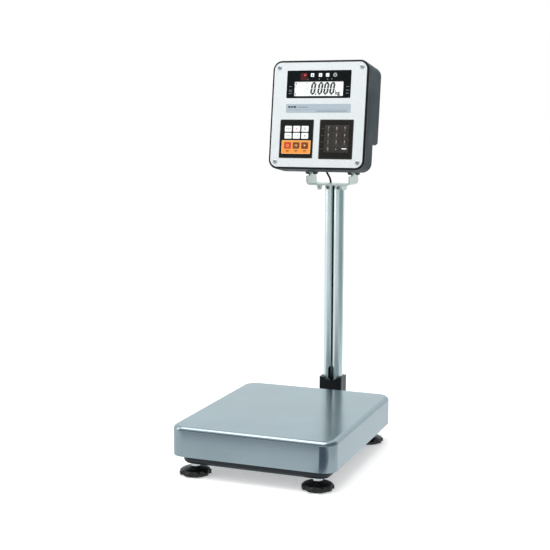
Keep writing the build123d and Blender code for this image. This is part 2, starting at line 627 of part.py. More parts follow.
with BuildPart() as rear_housing:
    with BuildSketch(DISP.offset(-BEZEL_D)):
        RectangleRounded(CASE_W, CASE_H, CASE_R)
    extrude(amount=-(CASE_D - BEZEL_D))
    # the lower part is shallower: the yoke works under the step
    with BuildSketch(DISP.offset(-CASE_D_LOW)):
        with Locations((0, -CASE_H / 2 + STEP_H / 2 - 10)):
            Rectangle(CASE_W + 20, STEP_H + 20)
    extrude(amount=-CASE_D, mode=Mode.SUBTRACT)
    fillet([e for e in rear_housing.edges() if local(e).Z < -CASE_D + 0.01], 11)
    fillet([e for e in rear_housing.edges()
            if abs(local(e).Z + CASE_D_LOW) < 0.01 and local(e).Y < LOW_TOP - 4], 9)
    add(step_slope(0), mode=Mode.SUBTRACT)
    add(cavity.part, mode=Mode.SUBTRACT)
    # lugs around the yoke's ears
    for x0 in (-59.5, -42.5, 37.5, 54.5):
        with BuildSketch(LUGS.offset(x0)):
            Circle(17)
            with Locations(((LUG_FRONT - 1.5 + 17) / 2, (LUG_TOP + SLOPE_Y) / 2)):
                Rectangle(17 - LUG_FRONT + 1.5, LUG_TOP + SLOPE_Y)
            with Locations(((LUG_FRONT - 1.5) / 2, -3)):
                Rectangle(-LUG_FRONT + 1.5, 6)
        extrude(amount=5)
    with BuildSketch(LUGS.offset(-70)):
        Circle(3.1)
    extrude(amount=140, mode=Mode.SUBTRACT)
    # screw bosses of the panel
    with BuildSketch(DISP.offset(-BEZEL_D)):
        with Locations(*SCREWS):
            Circle(6.5)
        with Locations(*[(x + 7 * (1 if x > 0 else -1), y) for x, y in SCREWS]):
            Rectangle(13, 3)
    extrude(amount=-34)
    with BuildSketch(DISP.offset(-BEZEL_D)):
        with Locations(*SCREWS):
            Circle(2.1)
    extrude(amount=-28, mode=Mode.SUBTRACT)
    # battery opening, and the two lugs of its cover
    with BuildSketch(DISP.offset(-CASE_D)):
        with Locations((COVER_X, COVER_Y)):
            RectangleRounded(COVER_W + 1.0, COVER_H + 1.0, 4.5)
    extrude(amount=WALL + 1, mode=Mode.SUBTRACT)
    for x0 in (-50.0, 44.0):
        with BuildSketch(hinge_plane(x0)):
            Circle(2.8)
            with Locations((-2.6, 0)):
                Rectangle(5.2, 5.6)
            Circle(1.56, mode=Mode.SUBTRACT)
        extrude(amount=6)
    # holes of the cable gland and of the power jack
    with BuildSketch(DISP.offset(-CASE_D_LOW)):
        with Locations((GLAND_X, GLAND_Y)):
            Circle(4.5)
        with Locations((JACK_X, JACK_Y)):
            Circle(5.5)
    extrude(amount=WALL + 2, mode=Mode.SUBTRACT)
rear_housing.part.label = "rear_housing"
export_step(rear_housing.part, "parts/rear_housing.step")

with BuildPart() as front_panel:
    with BuildSketch(DISP.offset(-2)):
        RectangleRounded(PANEL_W, PANEL_H, PANEL_R)
        with Locations((WIN_X, WIN_Y)):
            RectangleRounded(WIN_W, WIN_H, 2, mode=Mode.SUBTRACT)
        with Locations((PADL_X, PADL_Y)):
            RectangleRounded(PADL_W, PADL_H, 2, mode=Mode.SUBTRACT)
        with Locations((PADR_X, PADR_Y)):
            RectangleRounded(PADR_W, PADR_H, 2, mode=Mode.SUBTRACT)
        with Locations(*SCREWS):
            Circle(2.1, mode=Mode.SUBTRACT)
    extrude(amount=2)
front_panel.part.label = "front_panel"
export_step(front_panel.part, "parts/front_panel.step")

with BuildPart() as panel_screws:
    with BuildSketch(DISP):
        with Locations(*SCREWS):
            Circle(4.2)
    extrude(amount=2.2)
    fillet([e for e in panel_screws.edges() if local(e).Z > 2.1], 1.2)
    with BuildSketch(DISP):
        with Locations(*SCREWS):
            Circle(2.0)
    extrude(amount=-36)
    with BuildSketch(DISP.offset(2.2)):
        with Locations(*SCREWS):
            Rectangle(4.6, 1.0)
            Rectangle(1.0, 4.6)
    extrude(amount=-1.3, mode=Mode.SUBTRACT)
panel_screws.part.label = "panel_screws"
export_step(panel_screws.part, "parts/panel_screws.step")

with BuildPart() as display_window:
    with BuildSketch(DISP.offset(-2)):
        with Locations((WIN_X, WIN_Y)):
            RectangleRounded(WIN_W, WIN_H, 2)
        with Locations((LCD_X, LCD_Y)):
            RectangleRounded(LCD_W, LCD_H, 1, mode=Mode.SUBTRACT)
    extrude(amount=2.1)
display_window.part.label = "display_window"
export_step(display_window.part, "parts/display_window.step")

with BuildPart() as lcd_screen:
    with BuildSketch(DISP.offset(-12)):
        with Locations((LCD_X, LCD_Y)):
            Rectangle(LCD_W + 8, LCD_H + 8)
    extrude(amount=10)
lcd_screen.part.label = "lcd_screen"
export_step(lcd_screen.part, "parts/lcd_screen.step")

with BuildPart() as main_board:
    with BuildSketch(DISP.offset(-13.6)):
        with Locations((0, 40)):
            Rectangle(156, 92)
    extrude(amount=1.6)
main_board.part.label = "main_board"
export_step(main_board.part, "parts/main_board.step")

# ---------------------------------------------------------------- keys
FN_SIZE, OP_SIZE, NUM_SIZE = (15.6, 12.4), (13.4, 12.2), (16.0, 12.4)
LEFT_KEYS = {}
for row, y in enumerate((-30.3, -45.2)):
    for col, x in enumerate((-65.0, -46.0, -27.0)):
        LEFT_KEYS[f"key_function_{row * 3 + col + 1}"] = (x, y, FN_SIZE)
for word, x in (("red", -65.0), ("brown_1", -45.6), ("brown_2", -26.2)):
    LEFT_KEYS[f"key_{word}"] = (x, -66.0, OP_SIZE)
RIGHT_KEYS = {}
for row, (y, words) in enumerate(((-29.3, "789"), (-43.8, "456"), (-58.2, "123"))):
    for x, word in zip((26.0, 44.2, 62.4), words):
        RIGHT_KEYS[f"key_number_{word}"] = (x, y, NUM_SIZE)
for x, word in zip((26.0, 44.2, 62.4), ("number_0", "point", "clear")):
    RIGHT_KEYS[f"key_{word}"] = (x, -72.6, NUM_SIZE)

with BuildPart() as keypad_left:
    with BuildSketch(DISP.offset(-2)):
        with Locations((PADL_X, PADL_Y)):
            RectangleRounded(PADL_W, PADL_H, 2)
        for x, y, (w, h) in LEFT_KEYS.values():
            with Locations((x, y)):
                RectangleRounded(w + 2 * KEY_GAP, h + 2 * KEY_GAP, 1.6, mode=Mode.SUBTRACT)
    extrude(amount=2.3)
keypad_left.part.label = "keypad_left"
export_step(keypad_left.part, "parts/keypad_left.step")

with BuildPart() as keypad_right:
    with BuildSketch(DISP.offset(-2)):
        with Locations((PADR_X, PADR_Y)):
            RectangleRounded(PADR_W, PADR_H, 2)
        for x, y, (w, h) in RIGHT_KEYS.values():
            with Locations((x, y)):
                RectangleRounded(w + 2 * KEY_GAP, h + 2 * KEY_GAP, 1.6, mode=Mode.SUBTRACT)
    extrude(amount=2.3)
keypad_right.part.label = "keypad_right"
export_step(keypad_right.part, "parts/keypad_right.step")

for name, (x, y, (w, h)) in {**LEFT_KEYS, **RIGHT_KEYS}.items():
    with BuildPart() as key:
        with BuildSketch(DISP.offset(-1.9)):
            with Locations((x, y)):
                RectangleRounded(w, h, 1.4)
        extrude(amount=2.8)
        fillet([e for e in key.edges() if local(e).Z > 0.89], 0.5)
    key.part.label = name
    export_step(key.part, f"parts/{name}.step")

# ---------------------------------------------------------------- rear fittings
with BuildPart() as battery_cover:
    with BuildSketch(DISP.offset(-CASE_D)):
        with Locations((COVER_X, COVER_Y)):
            RectangleRounded(COVER_W, COVER_H, 4)
    extrude(amount=2.4)
    # finger ridge near the top
    with BuildSketch(DISP.offset(-CASE_D)):
        with Locations((COVER_X, COVER_Y + 26)):
            RectangleRounded(34, 5, 2)
    extrude(amount=-2.2)
    # hinge barrel with a stub at each end, and the web that carries it
    with BuildSketch(hinge_plane(-43.8)):
        Circle(2.8)
    extrude(amount=87.6)
    with BuildSketch(hinge_plane(-49)):
        Circle(1.5)
    extrude(amount=98)
    with BuildSketch(DISP.offset(-CASE_D - 5.6)):
        with Locations((COVER_X, HINGE_Y + 4)):
            Rectangle(87.6, 8)
    extrude(amount=2.6)
    with BuildSketch(DISP.offset(-CASE_D - 4)):
        with Locations((COVER_X, HINGE_Y + 6)):
            Rectangle(87.6, 4)
    extrude(amount=4)
battery_cover.part.label = "battery_cover"
export_step(battery_cover.part, "parts/battery_cover.step")

with BuildPart() as cable_gland:
    with BuildSketch(DISP.offset(-CASE_D_LOW)):
        with Locations((GLAND_X, GLAND_Y)):
            RegularPolygon(6.6, 6)
            Circle(CABLE_R, mode=Mode.SUBTRACT)
    extrude(amount=-5)
    with BuildSketch(DISP.offset(-CASE_D_LOW - 5)):
        with Locations((GLAND_X, GLAND_Y)):
            Circle(5.2)
            Circle(CABLE_R, mode=Mode.SUBTRACT)
    extrude(amount=-6)
    fillet([e for e in cable_gland.edges() if local(e).Z < -CASE_D_LOW - 10.9 and e.length > 20], 1.5)
    with BuildSketch(DISP.offset(-CASE_D_LOW)):
        with Locations((GLAND_X, GLAND_Y)):
            Circle(4.4)
            Circle(CABLE_R, mode=Mode.SUBTRACT)
    extrude(amount=8)
cable_gland.part.label = "cable_gland"
export_step(cable_gland.part, "parts/cable_gland.step")

with BuildPart() as power_jack:
    with BuildSketch(DISP.offset(-CASE_D_LOW - 1.5)):
        with Locations((JACK_X, JACK_Y)):
            Circle(7)
            Circle(3.0, mode=Mode.SUBTRACT)
    extrude(amount=1.5)
    with BuildSketch(DISP.offset(-CASE_D_LOW)):
        with Locations((JACK_X, JACK_Y)):
            Circle(5.4)
            Circle(3.0, mode=Mode.SUBTRACT)
    extrude(amount=10)
    with BuildSketch(DISP.offset(-CASE_D_LOW + 10)):
        with Locations((JACK_X, JACK_Y)):
            Circle(5.4)
    extrude(amount=2)
    with BuildSketch(DISP.offset(-CASE_D_LOW + 10)):
        with Locations((JACK_X, JACK_Y)):
            Circle(1.05)
    extrude(amount=-9)
power_jack.part.label = "power_jack"
export_step(power_jack.part, "parts/power_jack.step")

# pivot screws: head outside, washers both sides of the ear, nut inside
with BuildPart() as tilt_screws:
    for side in (-1, 1):
        for x0, x1, r in ((59.5, 63.5, 6.0), (33.0, 59.5, 3.0), (EAR_X + 1.55, 54.5, 9.0),
                          (42.5, EAR_X - 1.55, 9.0), (34.0, 37.5, 5.6)):
            with BuildSketch(Plane.YZ.offset(side * x0)):
                with Locations((PIVOT_Y, PIVOT_Z)):
                    Circle(r)
            extrude(amount=side * (x1 - x0))
    fillet(tilt_screws.edges().group_by(Axis.X)[0], 1.0)
    fillet(tilt_screws.edges().group_by(Axis.X)[-1], 1.0)
tilt_screws.part.label = "tilt_screws"
export_step(tilt_screws.part, "parts/tilt_screws.step")

# ================================================================ free bend of the cable
gland_end = disp_point(GLAND_X, GLAND_Y, -CASE_D_LOW - 11)
tail_route = [
    (CABLE_X, CABLE_Y, YOKE_Z0), (CABLE_X, CABLE_Y, YOKE_Z0 + 10), (CABLE_X - 10, CABLE_Y + 4, YOKE_Z0 + 24),
    (CABLE_X - 17.5, CABLE_Y + 2, YOKE_Z0 + 42),
    (gland_end.X, gland_end.Y + 14 * cos(t), gland_end.Z - 14 * sin(t)), (gland_end.X, gland_end.Y, gland_end.Z),
]
tail_radii = corner_radii(tail_route, 40)
print("tail radii", tail_radii, "gland end", gland_end)
with BuildPart() as cable_tail:
    with BuildLine() as tail_line:
        tail_path = FilletPolyline(*tail_route, radius=tail_radii)
    with BuildSketch(Plane(origin=tail_route[0], z_dir=Vector(*tail_route[1]) - Vector(*tail_route[0]))):
        Circle(CABLE_R - 0.02)
    sweep(path=tail_line.line)
cable_tail.part.label = "cable_tail"
export_step(cable_tail.part, "parts/cable_tail.step")
print("tail length", round(tail_path.length, 1))
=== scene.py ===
import json
from math import cos, pi, radians, sin

import bmesh
import bpy
from mathutils import Matrix, Vector

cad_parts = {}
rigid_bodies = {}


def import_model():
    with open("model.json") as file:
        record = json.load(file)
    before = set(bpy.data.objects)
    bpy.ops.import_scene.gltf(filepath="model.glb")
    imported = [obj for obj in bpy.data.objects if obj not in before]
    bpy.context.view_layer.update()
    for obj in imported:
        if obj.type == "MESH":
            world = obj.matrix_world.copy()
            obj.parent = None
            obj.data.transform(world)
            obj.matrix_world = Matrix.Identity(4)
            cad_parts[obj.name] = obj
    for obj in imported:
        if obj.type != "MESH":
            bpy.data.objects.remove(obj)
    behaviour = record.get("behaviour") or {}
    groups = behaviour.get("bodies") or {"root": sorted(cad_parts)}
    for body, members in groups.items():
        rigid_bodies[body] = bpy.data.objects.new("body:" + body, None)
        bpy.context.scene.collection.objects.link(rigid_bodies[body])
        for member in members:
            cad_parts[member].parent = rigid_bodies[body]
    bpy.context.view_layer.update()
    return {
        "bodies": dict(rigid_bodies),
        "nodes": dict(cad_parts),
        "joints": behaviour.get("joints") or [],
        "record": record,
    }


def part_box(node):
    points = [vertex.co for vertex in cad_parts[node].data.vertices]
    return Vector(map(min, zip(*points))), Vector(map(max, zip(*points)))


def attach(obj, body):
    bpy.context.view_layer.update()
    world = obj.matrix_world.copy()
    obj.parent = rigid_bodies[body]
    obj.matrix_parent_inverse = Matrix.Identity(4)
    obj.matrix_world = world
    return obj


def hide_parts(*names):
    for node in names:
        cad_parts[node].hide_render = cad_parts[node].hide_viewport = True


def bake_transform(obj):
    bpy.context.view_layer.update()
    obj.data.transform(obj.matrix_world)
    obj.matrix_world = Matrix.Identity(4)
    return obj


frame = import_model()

nodes = frame["nodes"]

# ---------------------------------------------------------------- places from the CAD frame
PAN_LO, PAN_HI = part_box("weighing_pan")
PAN_Y = (PAN_LO[1] + PAN_HI[1]) / 2
TILT = radians(8)
OUT = Vector((0, -cos(TILT), sin(TILT)))          # out of the display's face
UP = Vector((0, sin(TILT), cos(TILT)))            # up the display's face
FACE = Vector((-0.012, 0.149, 0.6888))            # middle of the silver panel
PIVOT = Vector((0, 0.218, 0.576))
FACE_FRAME = Matrix((
    (1, 0, 0, FACE.x), (0, UP.y, OUT.y, FACE.y), (0, UP.z, OUT.z, FACE.z), (0, 0, 0, 1)))


# ---------------------------------------------------------------- materials
def linear(rgb):
    """sRGB 0-255 to linear."""
    out = []
    for c in rgb:
        c /= 255
        out.append(c / 12.92 if c <= 0.04045 else ((c + 0.055) / 1.055) ** 2.4)
    return (*out, 1.0)


class Shader:
    """A Principled material with a few node helpers."""

    def __init__(self, name, rgb, metal=0.0, rough=0.5, **sockets):
        self.mat = bpy.data.materials.new(name)
        self.mat.use_nodes = True
        self.tree = self.mat.node_tree
        self.bsdf = self.tree.nodes["Principled BSDF"]
        self.colour = linear(rgb)
        self.bsdf.inputs["Base Color"].default_value = self.colour
        self.bsdf.inputs["Metallic"].default_value = metal
        self.bsdf.inputs["Roughness"].default_value = rough
        for key, value in sockets.items():
            self.bsdf.inputs[key.replace("_", " ")].default_value = value
        self.rough = rough

    def node(self, kind, **values):
        n = self.tree.nodes.new(kind)
        for key, value in values.items():
            if key in n.inputs:
                n.inputs[key].default_value = value
            else:
                setattr(n, key, value)
        return n

    def link(self, a, b):
        self.tree.links.new(a, b)

    def coords(self, scale=(1, 1, 1), turn=(0, 0, 0)):
        """Object coordinates in metres, stretched."""
        place = self.node("ShaderNodeTexCoord")
        mapping = self.node("ShaderNodeMapping")
        mapping.inputs["Scale"].default_value = scale
        mapping.inputs["Rotation"].default_value = turn
        self.link(place.outputs["Object"], mapping.inputs["Vector"])
        return mapping.outputs["Vector"]

    def noise(self, scale, stretch=(1, 1, 1), detail=3.0, turn=(0, 0, 0), distortion=0.0):
        n = self.node("ShaderNodeTexNoise", Scale=scale, Detail=detail, Distortion=distortion)
        self.link(self.coords(stretch, turn), n.inputs["Vector"])
        return n.outputs["Fac"]

    def remap(self, value, lo, hi, to_lo, to_hi):
        m = self.node("ShaderNodeMapRange")
        for key, number in zip(("From Min", "From Max", "To Min", "To Max"), (lo, hi, to_lo, to_hi)):
            m.inputs[key].default_value = number
        self.link(value, m.inputs["Value"])
        return m.outputs["Result"]

    def vary_rough(self, value, spread):
        self.link(self.remap(value, 0.3, 0.7, max(0.02, self.rough - spread), self.rough + spread),
                  self.bsdf.inputs["Roughness"])

    def vary_colour(self, value, dark, light, lo=0.3, hi=0.7):
        """Multiplies the colour by dark..light as value goes from lo to hi."""
        mix = self.node("ShaderNodeMix", data_type="RGBA")
        mix.inputs["A"].default_value = tuple(min(1, c * dark) for c in self.colour[:3]) + (1,)
        mix.inputs["B"].default_value = tuple(min(1, c * light) for c in self.colour[:3]) + (1,)
        self.link(self.remap(value, lo, hi, 0, 1), mix.inputs["Factor"])
        self.link(mix.outputs["Result"], self.bsdf.inputs["Base Color"])
        return mix

    def bump(self, value, strength, distance, under=None):
        b = self.node("ShaderNodeBump", Strength=strength, Distance=distance)
        self.link(value, b.inputs["Height"])
        if under is not None:
            self.link(under, b.inputs["Normal"])
        self.link(b.outputs["Normal"], self.bsdf.inputs["Normal"])
        return b.outputs["Normal"]


def brushed(name, rgb, rough, stretch, grain=900.0, strength=0.12, spread=0.06, smear=0.4):
    """Brushed or ground metal: fine scratches along the axis where stretch is small."""
    s = Shader(name, rgb, metal=1.0, rough=rough)
    fine = s.noise(grain, stretch, detail=4.0)
    broad = s.noise(9.0, (1, 1, 1), detail=2.0)
    s.vary_rough(fine, spread)
    s.vary_colour(broad, 1 - smear * 0.15, 1 + smear * 0.1)
    s.bump(fine, strength, 0.00015)
    return s.mat


def moulded(name, rgb, rough=0.55, grain=1600.0, strength=0.25, spread=0.06, **sockets):
    """Moulded plastic with a fine spark-eroded grain."""
    s = Shader(name, rgb, rough=rough, **sockets)
    fine = s.noise(grain, detail=2.0)
    broad = s.noise(25.0, detail=3.0)
    s.vary_rough(broad, spread)
    s.vary_colour(broad, 0.9, 1.12)
    s.bump(fine, strength, 0.0001)
    return s.mat


def painted(name, rgb, rough=0.4, **sockets):
    """Powder coat: soft orange peel and slight mottling."""
    s = Shader(name, rgb, rough=rough, **sockets)
    peel = s.noise(500.0, detail=1.5)
    broad = s.noise(18.0, detail=4.0)
    s.vary_rough(broad, 0.07)
    s.vary_colour(broad, 0.88, 1.15)
    s.bump(peel, 0.3, 0.0002)
    return s.mat


def printed(name, rgb, rough=0.45, **sockets):
    """Ink or film: an even colour with a slightly uneven gloss."""
    s = Shader(name, rgb, rough=rough, **sockets)
    s.vary_rough(s.noise(120.0, detail=3.0), 0.05)
    s.vary_colour(s.noise(300.0, detail=2.0), 0.97, 1.03)
    return s.mat


M = {
    "stainless": brushed("stainless_pan", (148, 159, 165), 0.19, (0.012, 1, 1), strength=0.03, spread=0.03),
    "frame": painted("frame_paint", (27, 33, 39), Specular_IOR_Level=0.3),
    "zinc": brushed("zinc_carrier", (185, 190, 192), 0.42, (1, 1, 1), grain=140.0, smear=1.5),
    "cell": brushed("cell_aluminium", (205, 207, 208), 0.3, (1, 0.02, 1)),
    "steel": brushed("bright_steel", (200, 202, 204), 0.24, (1, 1, 1), grain=500.0),
    "screw": brushed("dull_screw", (190, 195, 198), 0.34, (1, 1, 1), grain=500.0),
    "black_steel": brushed("black_oxide_steel", (66, 72, 76), 0.3, (1, 1, 1), grain=500.0),
    "stud": brushed("blackened_stud", (112, 118, 122), 0.4, (1, 1, 1), grain=500.0),
    "rubber": moulded("black_rubber", (20, 21, 22), rough=0.62, grain=2500.0),
    "cable": moulded("cable_sheath", (14, 14, 16), rough=0.5, strength=0.1),
    "black": moulded("black_plastic", (10, 11, 12), rough=0.36, Specular_IOR_Level=0.35),
    "column": brushed("column_aluminium", (214, 224, 224), 0.3, (1, 1, 0.01), strength=0.05),
    "bracket": brushed("bracket_steel", (196, 204, 198), 0.36, (0.05, 1, 1)),
    "case_dark": moulded("case_dark", (13, 17, 20), rough=0.42, Specular_IOR_Level=0.2),
    "case": moulded("case_grey", (38, 49, 57), rough=0.5, Specular_IOR_Level=0.12),
    "panel": printed("panel_silver", (207, 212, 213), rough=0.42, Metallic=0.15),
    "strip": printed("name_strip", (168, 180, 190), rough=0.4, Metallic=0.3),
    "window": printed("window_black", (5, 8, 9), rough=0.2, Specular_IOR_Level=0.3),
    "lcd": printed("lcd_ground", (236, 240, 238), rough=0.4, Emission_Color=(0.94, 1, 0.98, 1),
                   Emission_Strength=0.1),
    "board": painted("circuit_board", (18, 92, 48)),
    "keypad_left": printed("keypad_black", (5, 8, 8), rough=0.42, Specular_IOR_Level=0.25),
    "keypad_right": printed("keypad_brown", (18, 15, 12), rough=0.42, Specular_IOR_Level=0.25),
    "key_white": moulded("key_white", (226, 229, 228), rough=0.4, strength=0.1),
    "key_red": moulded("key_red", (206, 48, 22), rough=0.38, strength=0.1),
    "key_brown": moulded("key_brown", (112, 52, 12), rough=0.4, strength=0.1),
    "key_dark": moulded("key_dark", (32, 26, 23), rough=0.42, strength=0.1),
    "vial": Shader("vial_glass", (214, 230, 120), rough=0.05, Transmission_Weight=0.9, IOR=1.45).mat,
    "clear": printed("clear_cover", (235, 240, 240), rough=0.06, Alpha=0.03),
    "ink_white": printed("ink_white", (226, 230, 230)),
    "ink_black": printed("ink_black", (10, 11, 12), rough=0.5),
    "ink_soft": printed("ink_soft", (178, 186, 188)),
    "ink_grey": printed("ink_grey", (112, 120, 122)),
    "ink_grey_dark": printed("ink_grey_dark", (92, 102, 110)),
    "ink_faint": printed("ink_faint", (216, 221, 218)),
    "ink_red": printed("ink_red", (190, 60, 62)),
    "ink_orange": printed("ink_orange", (224, 138, 48)),
    "ink_pale_orange": printed("ink_pale_orange", (246, 196, 132)),
    "ink_line": printed("ink_line", (86, 76, 66)),
    "ink_pale": printed("ink_pale", (168, 156, 142)),
    "lamp_red": printed("lamp_red", (206, 66, 66), Emission_Color=(0.5, 0.04, 0.04, 1),
                        Emission_Strength=0.25),
    "lamp_glow": printed("lamp_glow", (58, 5, 8), rough=0.3),
}
NODE_MATERIAL = {
    "weighing_pan": "stainless", "base_frame": "frame", "column_arm": "frame", "upper_frame": "zinc",
    "load_cell": "cell",
    "load_cell_spacers": "steel", "base_bolts": "steel", "overload_stops": "steel",
    "foot_lock_nuts": "steel",
    "bracket_screws": "black_steel", "panel_screws": "screw", "tilt_screws": "steel", "pan_pads": "rubber",
    "cable_grommet": "rubber",
    "signal_cable": "cable", "cable_tail": "cable", "level_vial": "vial", "column_holder": "black",
    "column": "column",
    "top_bracket": "bracket", "front_bezel": "case_dark", "rear_housing": "case", "battery_cover": "case",
    "cable_gland": "black", "power_jack": "black", "front_panel": "panel", "display_window": "window",
    "lcd_screen": "lcd",
    "main_board": "board", "keypad_left": "keypad_left", "keypad_right": "keypad_right",
    "key_red": "key_red",
    "key_brown_1": "key_brown", "key_brown_2": "key_brown", "key_point": "key_dark",
    "key_clear": "key_dark",
}
PREFIX_MATERIAL = {"foot_sole": "rubber", "foot_knob": "black", "key_function": "key_white",
                   "key_number": "key_dark"}
for name, obj in nodes.items():
    key = NODE_MATERIAL.get(name) or next(m for p, m in PREFIX_MATERIAL.items() if name.startswith(p))
    obj.data.materials.clear()
    obj.data.materials.append(M[key])


# ---------------------------------------------------------------- mesh building
class Solids:
    """Gathers closed solids in one mesh, drawn in millimetres in a frame."""

    def __init__(self, frame=None):
        self.bm = bmesh.new()
        self.frame = (frame or Matrix()) @ Matrix.Scale(0.001, 4)

    def vert(self, x, y, z):
        return self.bm.verts.new(self.frame @ Vector((x, y, z)))

    def face(self, verts, mat):
        try:
            self.bm.faces.new(verts).material_index = mat
        except ValueError:
            pass

    def prism(self, outline, z0, z1, mat=0, inset=0.0):
        """Extrudes an outline; inset draws the top in towards its middle."""
        cx, cy = (sum(p[i] for p in outline) / len(outline) for i in (0, 1))
        low = [self.vert(x, y, z0) for x, y in outline]
        high = [self.vert(x + (cx - x) * inset, y + (cy - y) * inset, z1) for x, y in outline]
        self.face(low[::-1], mat)
        self.face(high, mat)
        for i in range(len(low)):
            j = (i + 1) % len(low)
            self.face((low[i], low[j], high[j], high[i]), mat)
        return self

    def ring(self, outer, inner, z0, z1, mat=0):
        """A flat ring between two outlines with the same number of points."""
        loops = [[self.vert(x, y, z) for x, y in outline] for outline, z in
                 ((outer, z0), (outer, z1), (inner, z1), (inner, z0))]
        for k in range(4):
            a, b = loops[k], loops[(k + 1) % 4]
            for i in range(len(a)):
                j = (i + 1) % len(a)
                self.face((a[i], a[j], b[j], b[i]), mat)
        return self

    def lathe(self, profile, x=0.0, y=0.0, mat=0, seg=24):
        """Turns a closed (radius, height) profile; a radius of 0 closes it on the axis."""
        rows = []
        for r, z in profile:
            if r < 1e-6:
                rows.append([self.vert(x, y, z)] * seg)
            else:
                rows.append([self.vert(x + r * cos(2 * pi * i / seg), y + r * sin(2 * pi * i / seg), z)
                             for i in range(seg)])
        closed = profile[0][0] > 1e-6 or profile[-1][0] > 1e-6
        pairs = list(zip(rows, rows[1:])) + ([(rows[-1], rows[0])] if closed else [])
        for a, b in pairs:
            for i in range(seg):
                j = (i + 1) % seg
                quad = []
                for v in (a[i], a[j], b[j], b[i]):
                    if v not in quad:
                        quad.append(v)
                if len(quad) > 2:
                    self.face(quad, mat)
        return self

    def tube(self, path, radius, mat=0, seg=12, closed=False):
        """A round tube along points; radius may be a function of the share of the way."""
        path = [Vector(p) for p in path]
        rows, side = [], None
        for i, p in enumerate(path):
            a = path[i - 1] if i or closed else p
            b = path[(i + 1) % len(path)] if i + 1 < len(path) or closed else p
            along = (b - a).normalized()
            side = (side or along.orthogonal()) - along * along.dot(side or along.orthogonal())
            side.normalize()
            other = along.cross(side)
            r = radius(i / (len(path) - 1)) if callable(radius) else radius
            rows.append([self.vert(*(p + (side * cos(2 * pi * k / seg) + other * sin(2 * pi * k / seg)) * r))
                         for k in range(seg)])
        for a, b in list(zip(rows, rows[1:])) + ([(rows[-1], rows[0])] if closed else []):
            for k in range(seg):
                j = (k + 1) % seg
                self.face((a[k], a[j], b[j], b[k]), mat)
        if not closed:
            self.face(rows[0][::-1], mat)
            self.face(rows[-1], mat)
        return self

    def grid_plate(self, xs, ys, holes, z0, z1, mat=0):
        """A plate over the grid xs by ys, open at the cells named in holes."""
        cells = [(i, j) for i in range(len(xs) - 1) for j in range(len(ys) - 1) if (i, j) not in holes]
        grid = {}
        for top, z in ((0, z0), (1, z1)):
            for i, j in cells:
                for a, b in ((i, j), (i + 1, j), (i + 1, j + 1), (i, j + 1)):
                    if (a, b, top) not in grid:
                        grid[a, b, top] = self.vert(xs[a], ys[b], z)
        for i, j in cells:
            corners = ((i, j), (i + 1, j), (i + 1, j + 1), (i, j + 1))
            self.face([grid[a, b, 1] for a, b in corners], mat)
            self.face([grid[a, b, 0] for a, b in corners[::-1]], mat)
            for k, (di, dj) in enumerate(((0, -1), (1, 0), (0, 1), (-1, 0))):
                if (i + di, j + dj) not in cells:
                    (a, b), (c, d) = corners[k], corners[(k + 1) % 4]
                    self.face((grid[a, b, 0], grid[c, d, 0], grid[c, d, 1], grid[a, b, 1]), mat)
        return self

    def text(self, word, x, y, size, z0, z1, mat=0, bold=0.0):
        curve = bpy.data.curves.new("word", "FONT")
        curve.body, curve.size, curve.extrude = word, size, (z1 - z0) / 2
        curve.offset = bold
        curve.align_x, curve.align_y, curve.resolution_u = "CENTER", "CENTER", 3
        holder = bpy.data.objects.new("word", curve)
        mesh = bpy.data.meshes.new_from_object(holder)
        mesh.transform(self.frame @ Matrix.Translation((x, y, (z0 + z1) / 2)))
        before = len(self.bm.faces)
        self.bm.from_mesh(mesh)
        self.bm.faces.ensure_lookup_table()
        for f in self.bm.faces[before:]:
            f.material_index = mat
        bpy.data.objects.remove(holder)
        bpy.data.curves.remove(curve)
        bpy.data.meshes.remove(mesh)
        return self

    def piece(self, name, body, slot, *materials, smooth=35, bevel=0.0):
        """Turns what was gathered into an object that rides on a body."""
        bmesh.ops.remove_doubles(self.bm, verts=self.bm.verts, dist=2e-7)
        bmesh.ops.recalc_face_normals(self.bm, faces=self.bm.faces)
        mesh = bpy.data.meshes.new(name)
        for f in self.bm.faces:
            f.smooth = smooth > 0
        self.bm.to_mesh(mesh)
        self.bm.free()
        if smooth:
            mesh.set_sharp_from_angle(angle=radians(smooth))
        for m in materials:
            mesh.materials.append(m)
        obj = bpy.data.objects.new(name, mesh)
        bpy.context.scene.collection.objects.link(obj)
        if bevel:
            mod = obj.modifiers.new("edges", "BEVEL")
            mod.width, mod.segments, mod.limit_method = bevel / 1000, 2, "ANGLE"
            mod.harden_normals = False
        if body:
            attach(obj, body)
        return obj


def rounded(w, h, r, x=0.0, y=0.0, n=5):
    """Outline of a rounded rectangle, anticlockwise."""
    out = []
    for sx, sy, start in ((1, 1, 0), (-1, 1, 90), (-1, -1, 180), (1, -1, 270)):
        for k in range(n + 1):
            a = radians(start + 90 * k / n)
            out.append((x + sx * (w / 2 - r) + r * cos(a), y + sy * (h / 2 - r) + r * sin(a)))
    return out


def circle(r, x=0.0, y=0.0, n=32, start=0.0):
    return [(x + r * cos(2 * pi * i / n + start), y + r * sin(2 * pi * i / n + start)) for i in range(n)]


def bar(x0, y0, x1, y1, w):
    """Outline of a straight stroke."""
    d = Vector((x1 - x0, y1 - y0)).normalized() * (w / 2)
    return [(x0 + d.y, y0 - d.x), (x1 + d.y, y1 - d.x), (x1 - d.y, y1 + d.x), (x0 - d.y, y0 + d.x)]


def axis_frame(place, z_dir, x_dir):
    """A frame at a point in millimetres, with its z and x axes."""
    z = Vector(z_dir).normalized()
    x = (Vector(x_dir) - z * z.dot(Vector(x_dir))).normalized()
    y = z.cross(x)
    p = Vector(place) / 1000
    return Matrix(((x.x, y.x, z.x, p.x), (x.y, y.y, z.y, p.y), (x.z, y.z, z.z, p.z), (0, 0, 0, 1)))


